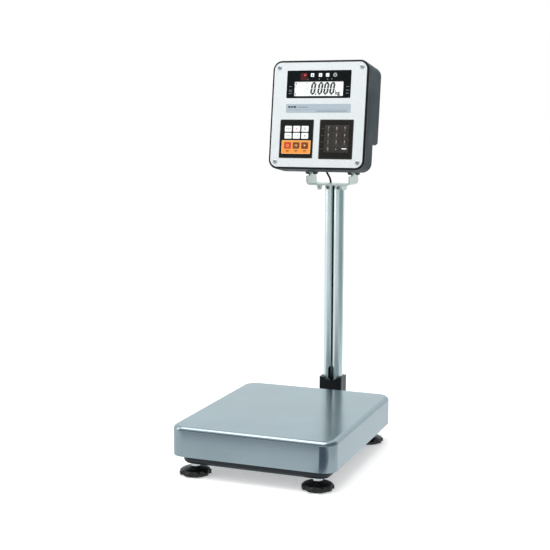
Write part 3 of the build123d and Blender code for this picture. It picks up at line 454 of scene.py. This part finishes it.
# ---------------------------------------------------------------- display: window and screen
WINDOW_TOP, FILM_TOP, KEY_TOP = 0.1, 0.3, 0.9
INK = 0.05                                       # thickness of printing

window_print = Solids(FACE_FRAME)
z0, z1 = WINDOW_TOP, WINDOW_TOP + INK
SIGN_Y = 84.6
for x in (-16.7, 1.3, 17.2):                     # lit symbols: square plates with a dark sign
    window_print.prism(rounded(7.4, 7.6, 0.9, x, SIGN_Y), z0, z1)
window_print.prism([(-18.6, SIGN_Y - 1.8), (-14.8, SIGN_Y - 1.8), (-16.7, SIGN_Y + 1.8)], z1, z1 + INK, 1)
window_print.prism(bar(-0.4, SIGN_Y - 1.2, 3.0, SIGN_Y - 1.2, 0.8), z1, z1 + INK, 1)
window_print.prism(bar(-0.4, SIGN_Y + 1.2, 1.6, SIGN_Y + 1.2, 0.8), z1, z1 + INK, 1)
window_print.prism(bar(15.6, SIGN_Y - 1.8, 18.8, SIGN_Y + 1.8, 0.8), z1, z1 + INK, 1)
window_print.ring(circle(4.1, 34.1, SIGN_Y), circle(2.7, 34.1, SIGN_Y), z0, z1, 3)
window_print.prism(bar(32.0, SIGN_Y, 36.2, SIGN_Y, 1.0), z0, z1, 3)
for x in (-26.5, -1.0, 17.5, 27.0):              # small marks under the signs
    window_print.prism([(x - 1.6, 76.6), (x, 73.8), (x + 1.6, 76.6)], z0, z1, 2)
for x, rows in ((-65.8, (60.5, 52.8, 49.6, 45.4)), (62.4, (59.8, 52.0, 45.6))):
    for k, y in enumerate(rows):                 # rows of dashes beside the screen
        length = (4.2, 6.4, 5.0, 5.8)[k]
        window_print.prism(rounded(length, 1.1, 0.3, x, y, 2), z0, z1, 2)
        window_print.prism(rounded(1.2, 1.1, 0.3, x + length / 2 + 1.4, y, 2), z0, z1, 2)
window_print.piece("window_print", "display", "window_black", M["ink_white"], M["ink_black"], M["ink_grey"],
                   M["ink_soft"],
                   smooth=0)

lamp = Solids(FACE_FRAME)
lamp.prism(rounded(16.0, 16.0, 4.0, -36.0, 81.6), z0, z0 + INK / 2, 1)
for x in (-35.2, -31.8):
    lamp.prism(bar(x, SIGN_Y - 2.6, x, SIGN_Y + 2.6, 1.2), z0, z1)
lamp.prism(bar(-34.6, SIGN_Y, -32.4, SIGN_Y, 1.0), z0, z1)
lamp.piece("status_lamp", "display", "key_red", M["lamp_red"], M["lamp_glow"], smooth=0)

# seven-segment figures, drawn upright and then slanted
SEG_W, SEG_H, STROKE, SLANT = 11.8, 27.6, 4.7, 0.13


def segments(solid, which, x, y, mat):
    """Seven-segment figure with its lower left corner at x, y."""
    w, h, s, gap = SEG_W, SEG_H, STROKE, 0.12
    half = h / 2
    across = {"a": (h - s / 2), "g": half, "d": s / 2}
    upright = {"f": (s / 2, half, h), "b": (w - s / 2, half, h), "e": (s / 2, 0, half),
               "c": (w - s / 2, 0, half)}
    for key in which:
        if key in across:
            cy = across[key]
            pts = [(s / 2 + gap, cy), (s + gap, cy - s / 2), (w - s - gap, cy - s / 2),
                   (w - s / 2 - gap, cy),
                   (w - s - gap, cy + s / 2), (s + gap, cy + s / 2)]
        else:
            cx, lo, hi = upright[key]
            low, high = (s / 2 if end in (0, h) else s * 0.08 for end in (lo, hi))
            lo, hi = (lo + s / 2 if lo == 0 else lo) + gap, (hi - s / 2 if hi == h else hi) - gap
            pts = [(cx, lo), (cx + s / 2, lo + low), (cx + s / 2, hi - high), (cx, hi),
                   (cx - s / 2, hi - high), (cx - s / 2, lo + low)]
        solid.prism([(x + px + py * SLANT, y + py) for px, py in pts], LCD_TOP, LCD_TOP + INK, mat)


LCD_TOP = -2.0
FIGURE_X = (-21.8, -6.0, 7.4, 20.8)
figures = Solids(FACE_FRAME)
for x in FIGURE_X:
    segments(figures, "abcdef", x, 42.6, 0)
figures.prism([(px + py * SLANT, 42.6 + py) for px, py in rounded(3.4, 3.4, 0.4, -8.4, 1.7, 2)], LCD_TOP,
              LCD_TOP + INK)
figures.text("kg", 40.4, 47.0, 11.5, LCD_TOP, LCD_TOP + INK, bold=0.5)
for x, y, shape in ((-53.0, 67.0, "up"), (-53.6, 60.4, "box"), (-53.0, 44.6, "right")):
    if shape == "box":
        figures.ring(rounded(6.0, 3.2, 0.5, x, y, 2), rounded(4.8, 2.0, 0.3, x, y, 2), LCD_TOP,
                     LCD_TOP + INK)
    elif shape == "up":
        figures.prism([(x - 2.2, y - 2), (x + 2.2, y - 2), (x, y + 2)], LCD_TOP, LCD_TOP + INK)
    else:
        figures.prism([(x - 1.8, y - 1.8), (x + 1.8, y), (x - 1.8, y + 1.8)], LCD_TOP, LCD_TOP + INK)
figures.piece("screen_figures", "display", "window_black", M["ink_black"], smooth=0)

ghosts = Solids(FACE_FRAME)
segments(ghosts, "abcdefg", FIGURE_X[0] - 15.0, 42.6, 0)
for x in FIGURE_X:
    segments(ghosts, "g", x, 42.6, 0)
ghosts.piece("screen_unlit", "display", "lcd_glass", M["ink_faint"], smooth=0)

glass = Solids(FACE_FRAME)
glass.prism(rounded(109.5, 30.5, 1.0, -1.7, 55.3), -1.7, -0.5, inset=0.003)
glass.piece("screen_glass", "display", "lcd_glass", M["clear"], bevel=0.15)

# ---------------------------------------------------------------- display: name strip, keypads and keys
strip = Solids(FACE_FRAME)
strip.prism(rounded(145.6, 19.0, 1.2, -0.5, 13.5), 0, 0.12, inset=0.002)
for k, length in enumerate((5.4, 4.0, 6.6)):     # three plain bars where a name would be
    strip.prism(rounded(length, 3.4, 0.5, -65.4 + (0, 6.0, 12.4)[k], 16.6, 2), 0.12, 0.17, 1)
for k in range(7):
    strip.prism(rounded(2.6, 1.7, 0.4, -44.0 + 3.4 * k, 16.2, 2), 0.12, 0.17, 2)
for k in range(16):
    strip.prism(rounded(3.0, 1.5, 0.4, -2.0 + 4.3 * k, 7.6, 2), 0.12, 0.17, 2)
strip.prism(bar(-66.5, 11.2, 66.0, 11.2, 0.25), 0.12, 0.16, 2)
strip.piece("name_strip", "display", "case_grey", M["strip"], M["ink_black"], M["ink_grey_dark"], smooth=0)

FUNCTION_KEYS = [(f"key_function_{r * 3 + c + 1}", x, y) for r, y in enumerate((-30.3, -45.2))
                 for c, x in enumerate((-65.0, -46.0, -27.0))]
ORDER_KEYS = [("key_red", -65.0, -66.0), ("key_brown_1", -45.6, -66.0), ("key_brown_2", -26.2, -66.0)]
NUMBER_KEYS = [(f"key_number_{n}", x, y, n) for y, row in ((-29.3, "789"), (-43.8, "456"), (-58.2, "123"))
               for x, n in zip((26.0, 44.2, 62.4), row)]
NUMBER_KEYS += [("key_number_0", 26.0, -72.6, "0"), ("key_point", 44.2, -72.6, "."),
                ("key_clear", 62.4, -72.6, "clear")]

LEFT_PAD, RIGHT_PAD = (-46.0, -51.8), (43.2, -52.3)     # middles of the keypads

left_print = Solids(FACE_FRAME)
lo, hi = FILM_TOP, FILM_TOP + INK
xs = [-77.9]
for _, x, _ in ORDER_KEYS:
    xs += [x - 7.0, x + 7.0]
xs += [-13.9]
left_print.grid_plate(xs, [-83.0, -72.4, -59.6, -55.8], {(1, 1), (3, 1), (5, 1)}, lo, hi)
left_print.ring(rounded(65.4, 28.6, 1.2, -45.9, -69.4), rounded(64.0, 27.2, 0.1, -45.9, -69.4), lo, hi, 1)
for _, x, y in ORDER_KEYS:
    left_print.prism(rounded(8.0, 1.3, 0.4, x, -77.0, 2), hi, hi + INK, 2)
    left_print.prism(rounded(5.0, 1.0, 0.4, x, -79.6, 2), hi, hi + INK, 2)
    left_print.ring(rounded(15.2, 14.0, 1.8, x, y), rounded(14.4, 13.2, 1.5, x, y), hi, hi + INK, 2)
for _, x, y in FUNCTION_KEYS:
    left_print.ring(rounded(17.0, 13.8, 1.9, x, y), rounded(16.4, 13.2, 1.7, x, y), lo, hi, 3)
left_print.ring(rounded(73.6, 80.4, 1.6, *LEFT_PAD), rounded(73.0, 79.8, 1.4, *LEFT_PAD), lo, hi, 3)
left_print.piece("keypad_left_print", "display", "keypad_black", M["ink_orange"], M["ink_pale_orange"],
                 M["ink_black"],
                 M["ink_line"], smooth=0)

right_print = Solids(FACE_FRAME)
for _, x, y, _ in NUMBER_KEYS:
    right_print.ring(rounded(17.6, 13.9, 1.9, x, y), rounded(16.9, 13.2, 1.7, x, y), lo, hi)
right_print.ring(rounded(72.8, 81.7, 1.6, *RIGHT_PAD), rounded(72.2, 81.1, 1.4, *RIGHT_PAD), lo, hi)
for y in (-29.3, -43.8, -58.2, -72.6):
    right_print.prism(rounded(4.4, 0.9, 0.3, 12.2, y, 2), lo, hi)
right_print.piece("keypad_right_print", "display", "keypad_brown", M["ink_line"], smooth=0)


def legend(key, mat, draw):
    """Printing on one key: it moves with the key."""
    solid = Solids(FACE_FRAME)
    draw(solid, KEY_TOP, KEY_TOP + INK)
    slot = "key_white" if key.startswith("key_f") or key == "key_clear" else "key_dark"
    solid.piece(key + "_legend", key + "_cap", slot, mat, smooth=0)


def function_sign(number, x, y):
    def draw(s, a, b):
        if number == 1:                          # zero between two arrows
            s.ring(circle(1.7, x, y, 20), circle(1.0, x, y, 20), a, b)
            s.prism([(x - 5.2, y - 1.4), (x - 3.0, y), (x - 5.2, y + 1.4)], a, b)
            s.prism([(x + 5.2, y + 1.4), (x + 3.0, y), (x + 5.2, y - 1.4)], a, b)
        elif number == 2:                        # arrow up out of a tray
            s.prism([(x - 1.6, y + 0.6), (x + 1.6, y + 0.6), (x, y + 3.0)], a, b)
            s.prism(bar(x, y - 1.6, x, y + 0.7, 0.8), a, b)
            s.prism(bar(x - 3.4, y - 2.6, x + 3.4, y - 2.6, 0.8), a, b)
        elif number == 3:                        # three bars
            for k in range(3):
                s.prism(bar(x - 3.2, y - 2.2 + 2.2 * k, x + (3.2, 1.2, 2.2)[k], y - 2.2 + 2.2 * k, 0.8), a,
                        b)
        elif number == 4:                        # two rings
            for d in (-2.0, 2.0):
                s.ring(circle(1.7, x + d, y, 20), circle(1.1, x + d, y, 20), a, b)
        elif number == 5:                        # plus and minus
            s.prism(bar(x - 4.6, y, x - 1.4, y, 0.8), a, b)
            s.prism(bar(x + 1.2, y, x + 4.8, y, 0.8), a, b)
            s.prism(bar(x + 3.0, y - 1.8, x + 3.0, y - 0.4, 0.8), a, b)
            s.prism(bar(x + 3.0, y + 0.4, x + 3.0, y + 1.8, 0.8), a, b)
        else:                                    # dot
            s.lathe([(0, a), (1.5, a), (1.5, b), (0, b)], x, y, 0, 24)
    return draw


def order_sign(number, x, y):
    def draw(s, a, b):
        if number == 0:                          # open ring with a bar: on and off
            pts = [(x + 2.4 * sin(radians(t)), y - 0.4 + 2.4 * cos(radians(t)),
                    (a + b) / 2) for t in range(35, 326, 15)]
            s.tube(pts, 0.35, 0, 6)
            s.prism(bar(x, y + 0.2, x, y + 2.8, 0.7), a, b)
        elif number == 1:
            s.ring(rounded(5.2, 3.6, 0.6, x, y, 3), rounded(3.8, 2.2, 0.4, x, y, 3), a, b)
        else:
            s.prism([(x - 2.4, y + 1.6), (x, y - 2.0), (x + 2.4, y + 1.6)], a, b)
    return draw


def number_sign(word, x, y):
    def draw(s, a, b):
        if word == "clear":                      # wide arrow back
            s.prism(rounded(9.0, 2.2, 0.5, x + 0.8, y + 0.6, 3), a, b)
            s.prism([(x - 3.8, y + 2.4), (x - 6.2, y + 0.6), (x - 3.8, y - 1.2)], a, b)
        elif word == ".":
            s.lathe([(0, a), (0.9, a), (0.9, b), (0, b)], x, y - 0.6, 0, 20)
        else:
            s.text(word, x, y + 0.9, 7.4, a, b)
            s.prism(rounded(3.2, 0.5, 0.2, x, y - 3.6, 2), a, b)
    return draw


for n, (key, x, y) in enumerate(FUNCTION_KEYS, 1):
    legend(key, M["ink_grey_dark"] if n != 2 else M["ink_red"], function_sign(n, x, y))
for n, (key, x, y) in enumerate(ORDER_KEYS):
    legend(key, M["ink_pale_orange"], order_sign(n, x, y))
for key, x, y, word in NUMBER_KEYS:
    legend(key, M["ink_white"] if word == "clear" else M["ink_pale"], number_sign(word, x, y))

# ---------------------------------------------------------------- display: case fittings
washers = Solids(FACE_FRAME)
for sx in (-1, 1):
    for sy in (-1, 1):
        washers.lathe([(4.25, 0), (4.9, 0), (4.9, 0.3), (4.6, 0.5), (4.25, 0.5)], sx * 92.5, sy * 101.0)
washers.piece("panel_washers", "display", "bright_steel", M["screw"])

gasket = Solids(FACE_FRAME)
gasket.ring(rounded(216.0, 233.5, 20.8, n=12), rounded(213.0, 230.5, 19.2, n=12), -14.6, -13.5)
gasket.piece("case_gasket", "display", "black_rubber", M["rubber"], smooth=50)

back = Solids(FACE_FRAME)
REAR = -105.2
for x in (-84.0, 84.0):
    for y in (-30.0, 52.0):
        back.lathe([(0, REAR), (3.9, REAR), (3.9, REAR - 0.7), (3.3, REAR - 1.5), (2.0, REAR - 1.9),
                    (0, REAR - 1.9)], x, y)
        for dx, dy in ((2.1, 0.45), (0.45, 2.1)):
            back.prism(rounded(2 * dx, 2 * dy, 0.1, x, y, 1), REAR - 1.95, REAR - 1.85, 1)
back.piece("case_screws", "display", "bright_steel", M["steel"], M["ink_black"])

plate = Solids(FACE_FRAME)
plate.prism(rounded(92.0, 21.0, 1.5, 0, -28.6), REAR - 0.3, REAR, inset=0.002)
for k, y in enumerate((-22.4, -26.4, -30.4, -34.4)):
    for x, w in ((-34.0, 16.0), (-10.0, (20.0, 12.0, 24.0, 16.0)[k]), (26.0, (28.0, 34.0, 20.0, 30.0)[k])):
        plate.prism(rounded(w, 1.1, 0.3, x, y, 2), REAR - 0.36, REAR - 0.3, 1)
plate.piece("rating_plate", "display", "panel_silver", M["panel"], M["ink_grey_dark"], smooth=0)

cover_ribs = Solids(FACE_FRAME)
for k in range(9):
    cover_ribs.prism(rounded(100.0, 1.2, 0.5, 0, 8.0 + 4.4 * k, 3), REAR - 0.8, REAR, inset=0.004)
for x in (-58.0, 58.0):
    cover_ribs.lathe([(0, REAR), (2.6, REAR), (2.2, REAR - 0.9), (0, REAR - 0.9)], x, 58.0)
cover_ribs.piece("battery_cover_ribs", "battery_door", "case_grey", M["case"], bevel=0.2)

tray = Solids(FACE_FRAME)
FLOOR_Z, RIM_Z = -84.0, -101.5
tray.prism(rounded(124.0, 64.0, 3.0, 0, 30.0), FLOOR_Z - 1.6, FLOOR_Z)
tray.ring(rounded(124.0, 64.0, 3.0, 0, 30.0), rounded(120.8, 60.8, 1.6, 0, 30.0), RIM_Z, FLOOR_Z - 1.6)
for k in range(7):
    tray.prism(rounded(0.8, 56.0, 0.2, -44.7 + 14.9 * k, 30.0, 1), FLOOR_Z - 8.0, FLOOR_Z - 1.6)
tray.piece("battery_tray", "display", "black_plastic", M["black"], bevel=0.2)
for k in range(8):
    x, flip = -52.2 + 14.9 * k, 1 if k % 2 else -1
    cell = Solids(FACE_FRAME @ Matrix.Translation(Vector((x, 30.0, FLOOR_Z - 9.0)) / 1000) @
                  Matrix.Rotation(radians(90 if flip > 0 else -90), 4, "X"))
    cell.lathe([(0, -24.6), (5.0, -24.6), (6.6, -24.2), (7.1, -23.4), (7.1, 22.4), (6.5, 23.2), (3.2, 23.4),
                (2.8, 23.6), (2.7, 24.8), (0, 25.0)], seg=32)
    cell.lathe([(7.12, -22.5), (7.22, -22.5), (7.22, 14.0), (7.12, 14.0)], mat=1, seg=32)
    cell.lathe([(7.12, 14.2), (7.22, 14.2), (7.22, 21.8), (7.12, 21.8)], mat=2, seg=32)
    cell.piece(f"battery_cell_{k + 1}", "display", "cell_aluminium", M["steel"], M["case_dark"],
               M["ink_orange"])
contacts = Solids(FACE_FRAME)
for k in range(8):
    x, end = -52.2 + 14.9 * k, 1 if k % 2 else -1
    coil = [(x + (3.6 - 1.4 * t / 36) * cos(t * pi / 6), 30.0 + end * (30.2 - 4.6 * t / 36), FLOOR_Z - 9.0 +
             (3.6 - 1.4 * t / 36) * sin(t * pi / 6)) for t in range(37)]
    contacts.tube(coil, 0.35, 0, 6)
contacts.piece("battery_springs", "display", "bright_steel", M["steel"])

board = Solids(FACE_FRAME)
BOARD_BACK = -13.6
for x, y, w, h in ((-30.0, 52.0, 22.0, 22.0), (18.0, 60.0, 12.0, 18.0), (30.0, 22.0, 16.0, 9.0),
                   (-46.0, 14.0, 11.0, 8.0)):
    board.prism(rounded(w, h, 0.5, x, y, 2), BOARD_BACK - 2.2, BOARD_BACK - 0.4, 0)
    for k in range(int(w / 2)):
        for side in (-1, 1):
            board.prism(rounded(0.7, 2.0, 0.1, x - w / 2 + 1 + 2 * k, y + side * (h / 2 + 0.9), 1),
                        BOARD_BACK - 1.0, BOARD_BACK, 1)
for x, y, r in ((52.0, 60.0, 5.0), (64.0, 46.0, 4.0), (52.0, 44.0, 4.0), (-62.0, 62.0, 5.0),
                (-62.0, 40.0, 3.2)):
    top = BOARD_BACK - 11.0
    board.lathe([(0, BOARD_BACK), (r, BOARD_BACK), (r, BOARD_BACK - 0.8), (r * 0.93, BOARD_BACK - 1.5),
                 (r, BOARD_BACK - 2.2),
                 (r, top + 0.6), (r * 0.9, top), (0, top)], x, y, 2)
for x, y, w in ((-10.0, 2.0, 26.0), (34.0, 4.0, 18.0)):
    board.grid_plate([x - w / 2, x - w / 2 + 1, x + w / 2 - 1, x + w / 2],
                     [y - 3.2, y - 2.2, y + 2.2, y + 3.2], {(1, 1)},
                     BOARD_BACK - 7.0, BOARD_BACK, 3)
board.piece("board_parts", "display", "circuit_board", M["black"], M["steel"], M["case_dark"],
            M["ink_pale"])

boot = Solids(FACE_FRAME)
profile = [(2.3, -75.4), (4.6, -75.4)]
for k in range(4):
    z = -76.2 - 1.5 * k
    r = 4.5 - 0.3 * k
    profile += [(r, z), (r, z - 0.9), (r - 0.7, z - 1.05), (r - 0.7, z - 1.4)]
profile += [(2.9, -82.4), (2.3, -82.4)]
boot.lathe(profile, -17.0, -84.0, seg=28)
boot.piece("gland_boot", "display", "black_rubber", M["rubber"])

# ---------------------------------------------------------------- tilt screws, bracket and column
SIDE_NAME = {-1: "left", 1: "right"}
TILT_HEAD_X = 63.5                                # outer face of a tilt screw's head, from the middle
BRACKET_SCREW_X, BRACKET_SCREW_Z = 11.5, 530
COLUMN_FRONT_Y, BRACKET_HEAD = 234 - 12.5, 2.2    # front of the lobes, height of a screw head
for side in (-1, 1):
    heads = Solids(axis_frame((side * TILT_HEAD_X, PIVOT.y * 1000, PIVOT.z * 1000), (side, 0, 0), (0, 1, 0)))
    heads.ring(circle(5.0, n=36), circle(3.1, n=36), -0.2, 0.7)
    heads.prism(circle(2.9, n=6), -0.2, 0.05, 1)
    for k in range(24):
        a = 2 * pi * k / 24
        heads.prism(rounded(0.9, 0.5, 0.1, 5.55 * cos(a), 5.55 * sin(a), 1), -0.4, 0.15)
    heads.piece("tilt_screw_socket_" + SIDE_NAME[side], "display", "bright_steel",
                M["steel"], M["ink_black"])

for side in (-1, 1):
    cross = Solids(axis_frame((side * BRACKET_SCREW_X, COLUMN_FRONT_Y - 0.05 - BRACKET_HEAD, BRACKET_SCREW_Z),
                              (0, -1, 0), (1, 0, 0)))
    cross.ring(circle(2.9, n=28), circle(2.2, n=28), -0.2, 0.25)
    for dx, dy in ((1.9, 0.45), (0.45, 1.9)):
        cross.prism(rounded(2 * dx, 2 * dy, 0.1, 0, 0, 1), -0.2, 0.08, 1)
    cross.piece("bracket_screw_recess_" + SIDE_NAME[side], "root", "bright_steel",
                M["steel"], M["ink_black"])

# ---------------------------------------------------------------- studs of the feet
STUD_RADIUS, BOSS_TOP, THREAD_PITCH = 5.0, 18.0, 1.5
for corner in ("front_left", "front_right", "rear_left", "rear_right"):
    low_corner, high_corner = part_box("foot_knob_" + corner)
    axis = (low_corner + high_corner) / 2
    mesh = nodes["foot_knob_" + corner].data
    mesh.materials.append(M["stud"])
    for face in mesh.polygons:
        spots = [mesh.vertices[i].co for i in face.vertices]
        above_boss = all(p.z * 1000 > BOSS_TOP - 0.1 for p in spots)
        near_axis = all((p - axis).xy.length * 1000 < STUD_RADIUS + 0.1 for p in spots)
        if above_boss and near_axis:
            face.material_index = 1
    thread = Solids(Matrix.Translation((axis.x, axis.y, 0)))
    for start, stop in ((BOSS_TOP + 0.12, BOSS_TOP + 0.4), (42.3, 49.2)):
        turns = (stop - start) / THREAD_PITCH
        steps = max(8, int(24 * turns))
        path = [((STUD_RADIUS + 0.02) * cos(2 * pi * turns * i / steps),
                 (STUD_RADIUS + 0.02) * sin(2 * pi * turns * i / steps),
                 start + (stop - start) * i / steps) for i in range(steps + 1)]
        thread.tube(path, 0.2 if stop < 20 else 0.42, 0, 6)
    thread.piece("foot_thread_" + corner, "knob_" + corner, "bright_steel", M["stud"], smooth=60)

# ---------------------------------------------------------------- base: cell, vial and welds
CELL_SIDE_X = 20.0
for side in (-1, 1):
    pot = Solids(axis_frame((side * CELL_SIDE_X, PAN_Y * 1000, 60.5), (side, 0, 0), (0, 1, 0)))
    pot.prism(rounded(46.0, 33.0, 4.0, 0, 0, 5), -0.1, 0.5, inset=0.03)
    pot.prism(rounded(40.0, 27.0, 6.0, 0, 0, 6), 0.5, 1.3, inset=0.12)
    for k in range(4):
        pot.tube([(14 + 1.6 * k, -8 + 3.5 * k, 1.1), (22 + 1.2 * k, -9 + 3.5 * k, 1.6),
                  (30.0, -10 + 3.5 * k, 1.0),
                  (40.0, -5 + 1.6 * k, 0.9), (60.0, -3 + 1.3 * k, 0.9), (73.0, -6.5 + 1.3 * k, 0.9)], 0.5,
                  1 + k % 3, 6)
    pot.piece("cell_potting_" + SIDE_NAME[side], "root", "cell_aluminium", M["ink_white"],
              M["ink_red"],
              M["board"], M["ink_grey"], bevel=0.2)

vial = Solids(Matrix.Translation((0.070, 0.072, 0)))
vial_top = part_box("level_vial")[1].z * 1000
vial.ring(circle(11.0, n=36), circle(9.0, n=36), vial_top - 0.6, vial_top + 0.5)
vial.ring(circle(4.2, n=32), circle(3.8, n=32), vial_top, vial_top + 0.06, 1)
vial.lathe([(0, vial_top), (3.0, vial_top), (2.7, vial_top + 0.35), (1.8, vial_top + 0.6),
            (0, vial_top + 0.7)], 0.8, 0.5, 2, 24)
vial.piece("vial_ring", "root", "black_plastic", M["black"], M["ink_black"], M["clear"])

beam_lo, beam_hi = PAN_LO.y * 1000 + 24, PAN_HI.y * 1000 - 24
weld = Solids(Matrix())
floor_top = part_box("base_frame")[0].z * 1000 + 2.5
for side in (-1, 1):
    for k in range(6):                           # short runs of rippled weld along the beam
        start = beam_lo + 12 + k * (beam_hi - beam_lo - 54) / 5
        pts = [(side * 46.2, start + 0.8 * i, floor_top + 0.4) for i in range(38)]
        weld.tube(pts, lambda t: 1.25 + 0.28 * abs(sin(t * 38 * 1.25)) if 0.04 < t < 0.96 else 0.7, 0, 8)
weld.piece("beam_welds", "root", "frame_paint", M["frame"], smooth=60)

# ---------------------------------------------------------------- free bend of the cable
TAIL_ROUTE = ((-10, 236, 537), (-10, 236, 547), (-20, 240, 561), (-27.5, 238, 579), (-29, 226.4, 593.1),
              (-29, 212.57, 595.04))
CABLE_RADIUS = 0.00225
curve = bpy.data.curves.new("tail_line", "CURVE")
curve.dimensions, curve.resolution_u = "3D", 16
spline = curve.splines.new("NURBS")
spline.points.add(len(TAIL_ROUTE) - 1)
for point, place in zip(spline.points, TAIL_ROUTE):
    point.co = (*(c / 1000 for c in place), 1)
spline.order_u = 3
spline.use_endpoint_u = True
line = bpy.data.objects.new("tail_line", curve)
line_mesh = bpy.data.meshes.new_from_object(line)
tail_path = [v.co.copy() for v in line_mesh.vertices]
bpy.data.objects.remove(line)
tail = Solids(Matrix.Scale(1000, 4))
tail.tube(tail_path, CABLE_RADIUS - 0.00002, 0, 20)
tail = tail.piece("cable_tail_bend", None, "cable_sheath", M["cable"])
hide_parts("cable_tail")
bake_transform(tail)

# ---------------------------------------------------------------- floor, light and camera
def stage_plane(name, size, height, material):
    mesh = bpy.data.meshes.new(name)
    h = size / 2
    mesh.from_pydata([(-h, -h, height), (h, -h, height), (h, h, height), (-h, h, height)], [],
                     [(0, 1, 2, 3)])
    obj = bpy.data.objects.new(name, mesh)
    bpy.context.scene.collection.objects.link(obj)
    mesh.materials.append(material)
    return obj


floor_paint = Shader("floor_white", (250, 250, 250), rough=0.9, Emission_Color=(1, 1, 1, 1),
                     Emission_Strength=0.34)
floor_paint.vary_rough(floor_paint.noise(3.0), 0.05)
stage_plane("floor", 60.0, 0.0, floor_paint.mat)


def studio_world():
    """White where it is seen, a graded room in reflections, and an even light for the rest."""
    world = bpy.data.worlds.new("studio")
    bpy.context.scene.world = world
    world.use_nodes = True
    tree = world.node_tree
    tree.nodes.clear()

    def node(kind, **values):
        n = tree.nodes.new(kind)
        for key, value in values.items():
            if key in n.inputs:
                n.inputs[key].default_value = value
            else:
                setattr(n, key, value)
        return n

    def ramp(value, lo, hi):
        n = node("ShaderNodeMapRange", interpolation_type="SMOOTHSTEP")
        n.inputs["From Min"].default_value = lo
        n.inputs["From Max"].default_value = hi
        tree.links.new(value, n.inputs["Value"])
        return n.outputs["Result"]

    def mix(factor, a, b):
        n = node("ShaderNodeMix", data_type="RGBA")
        tree.links.new(factor, n.inputs["Factor"])
        for socket, value in ((n.inputs["A"], a), (n.inputs["B"], b)):
            if isinstance(value, tuple):
                socket.default_value = value
            else:
                tree.links.new(value, socket)
        return n.outputs["Result"]

    direction = node("ShaderNodeSeparateXYZ")
    tree.links.new(node("ShaderNodeTexCoord").outputs["Generated"], direction.inputs["Vector"])
    across, back, up = (direction.outputs[k] for k in "XYZ")
    low = mix(ramp(back, -0.45, 0.25), FRONT_LOW, BACK_LOW)
    low = mix(ramp(across, 0.2, 0.9), low, RIGHT_LOW)
    room = mix(ramp(up, 0.3, 0.75), low, TOP_GLOW)
    path = node("ShaderNodeLightPath")
    seen = mix(path.outputs["Is Glossy Ray"], (*[DIFFUSE_LEVEL] * 3, 1), room)
    seen = mix(path.outputs["Is Camera Ray"], seen, (1, 1, 1, 1))
    background = node("ShaderNodeBackground", Strength=1.0)
    tree.links.new(seen, background.inputs["Color"])
    tree.links.new(background.outputs["Background"], node("ShaderNodeOutputWorld").inputs["Surface"])


FRONT_LOW = (0.24, 0.3, 0.33, 1)
BACK_LOW = (0.98, 1.1, 1.12, 1)
RIGHT_LOW = (0.42, 0.5, 0.54, 1)
TOP_GLOW = (1.15, 1.2, 1.22, 1)
DIFFUSE_LEVEL = 0.72
studio_world()


def card(name, corners, colour):
    """A studio card that only reflections see."""
    mesh = bpy.data.meshes.new(name)
    mesh.from_pydata(corners, [], [(0, 1, 2, 3)])
    obj = bpy.data.objects.new(name, mesh)
    bpy.context.scene.collection.objects.link(obj)
    shader = Shader(name, (0, 0, 0), rough=1.0, Emission_Color=(*colour, 1), Emission_Strength=1.0,
                    Specular_IOR_Level=0.0)
    mesh.materials.append(shader.mat)
    obj.visible_camera = obj.visible_diffuse = obj.visible_shadow = False
    obj.visible_transmission = obj.visible_volume_scatter = False


def card_on_floor(name, x0, x1, y0, y1, z, colour):
    card(name, [(x0, y0, z), (x1, y0, z), (x1, y1, z), (x0, y1, z)], colour)


FLAT = 0.002
card_on_floor("card_front", -0.9, 0.09, -1.1, -0.53, FLAT, (0.33, 0.38, 0.42))
card_on_floor("card_corner", 0.09, 0.36, -1.1, -0.38, FLAT, (0.12, 0.16, 0.22))
card_on_floor("card_side", 0.36, 3.0, -3.0, 3.0, FLAT, (0.76, 0.86, 0.84))
card_on_floor("card_all", -3.0, 3.0, -3.0, 3.0, FLAT / 2, (1.0, 1.08, 1.1))
card("card_right", [(0.9, -1.5, 0), (0.9, 0.7, 0), (0.9, 0.7, 1.3), (0.9, -1.5, 1.3)], (0.24, 0.31, 0.34))


def area_light(name, place, target, size, power, colour=(1, 1, 1)):
    data = bpy.data.lights.new(name, "AREA")
    data.shape = "RECTANGLE"
    data.size, data.size_y = size
    data.energy = power
    data.color = colour
    lamp = bpy.data.objects.new(name, data)
    lamp.location = place
    lamp.rotation_euler = (Vector(target) - Vector(place)).to_track_quat("-Z", "Y").to_euler()
    bpy.context.scene.collection.objects.link(lamp)
    return lamp


area_light("overhead_softbox", (-0.3, -0.7, 2.4), (0, 0, 0.3), (2.4, 1.8), 34)
area_light("left_softbox", (-2.2, -1.0, 1.1), (0, 0, 0.5), (1.2, 1.6), 12)

CAMERA_PLACE = Vector((0.76568, -2.13555, 0.67509))
CAMERA_YAW, CAMERA_PITCH, CAMERA_ROLL = radians(20.94), radians(7.81), radians(0.18)
CAMERA_LENS = 73.445
forward = Vector((-sin(CAMERA_YAW) * cos(CAMERA_PITCH), cos(CAMERA_YAW) * cos(CAMERA_PITCH),
                  -sin(CAMERA_PITCH)))
level = Vector((cos(CAMERA_YAW), sin(CAMERA_YAW), 0))
upward = level.cross(forward)
right = level * cos(CAMERA_ROLL) + upward * sin(CAMERA_ROLL)
upward = upward * cos(CAMERA_ROLL) - level * sin(CAMERA_ROLL)
camera_data = bpy.data.cameras.new("camera")
camera_data.lens = CAMERA_LENS
camera_data.sensor_width = 36.0
camera = bpy.data.objects.new("camera", camera_data)
camera.matrix_world = Matrix((
    (right.x, upward.x, -forward.x, CAMERA_PLACE.x), (right.y, upward.y, -forward.y, CAMERA_PLACE.y),
    (right.z, upward.z, -forward.z, CAMERA_PLACE.z), (0, 0, 0, 1)))
bpy.context.scene.collection.objects.link(camera)
bpy.context.scene.camera = camera
bpy.context.scene.view_settings.view_transform = "Standard"
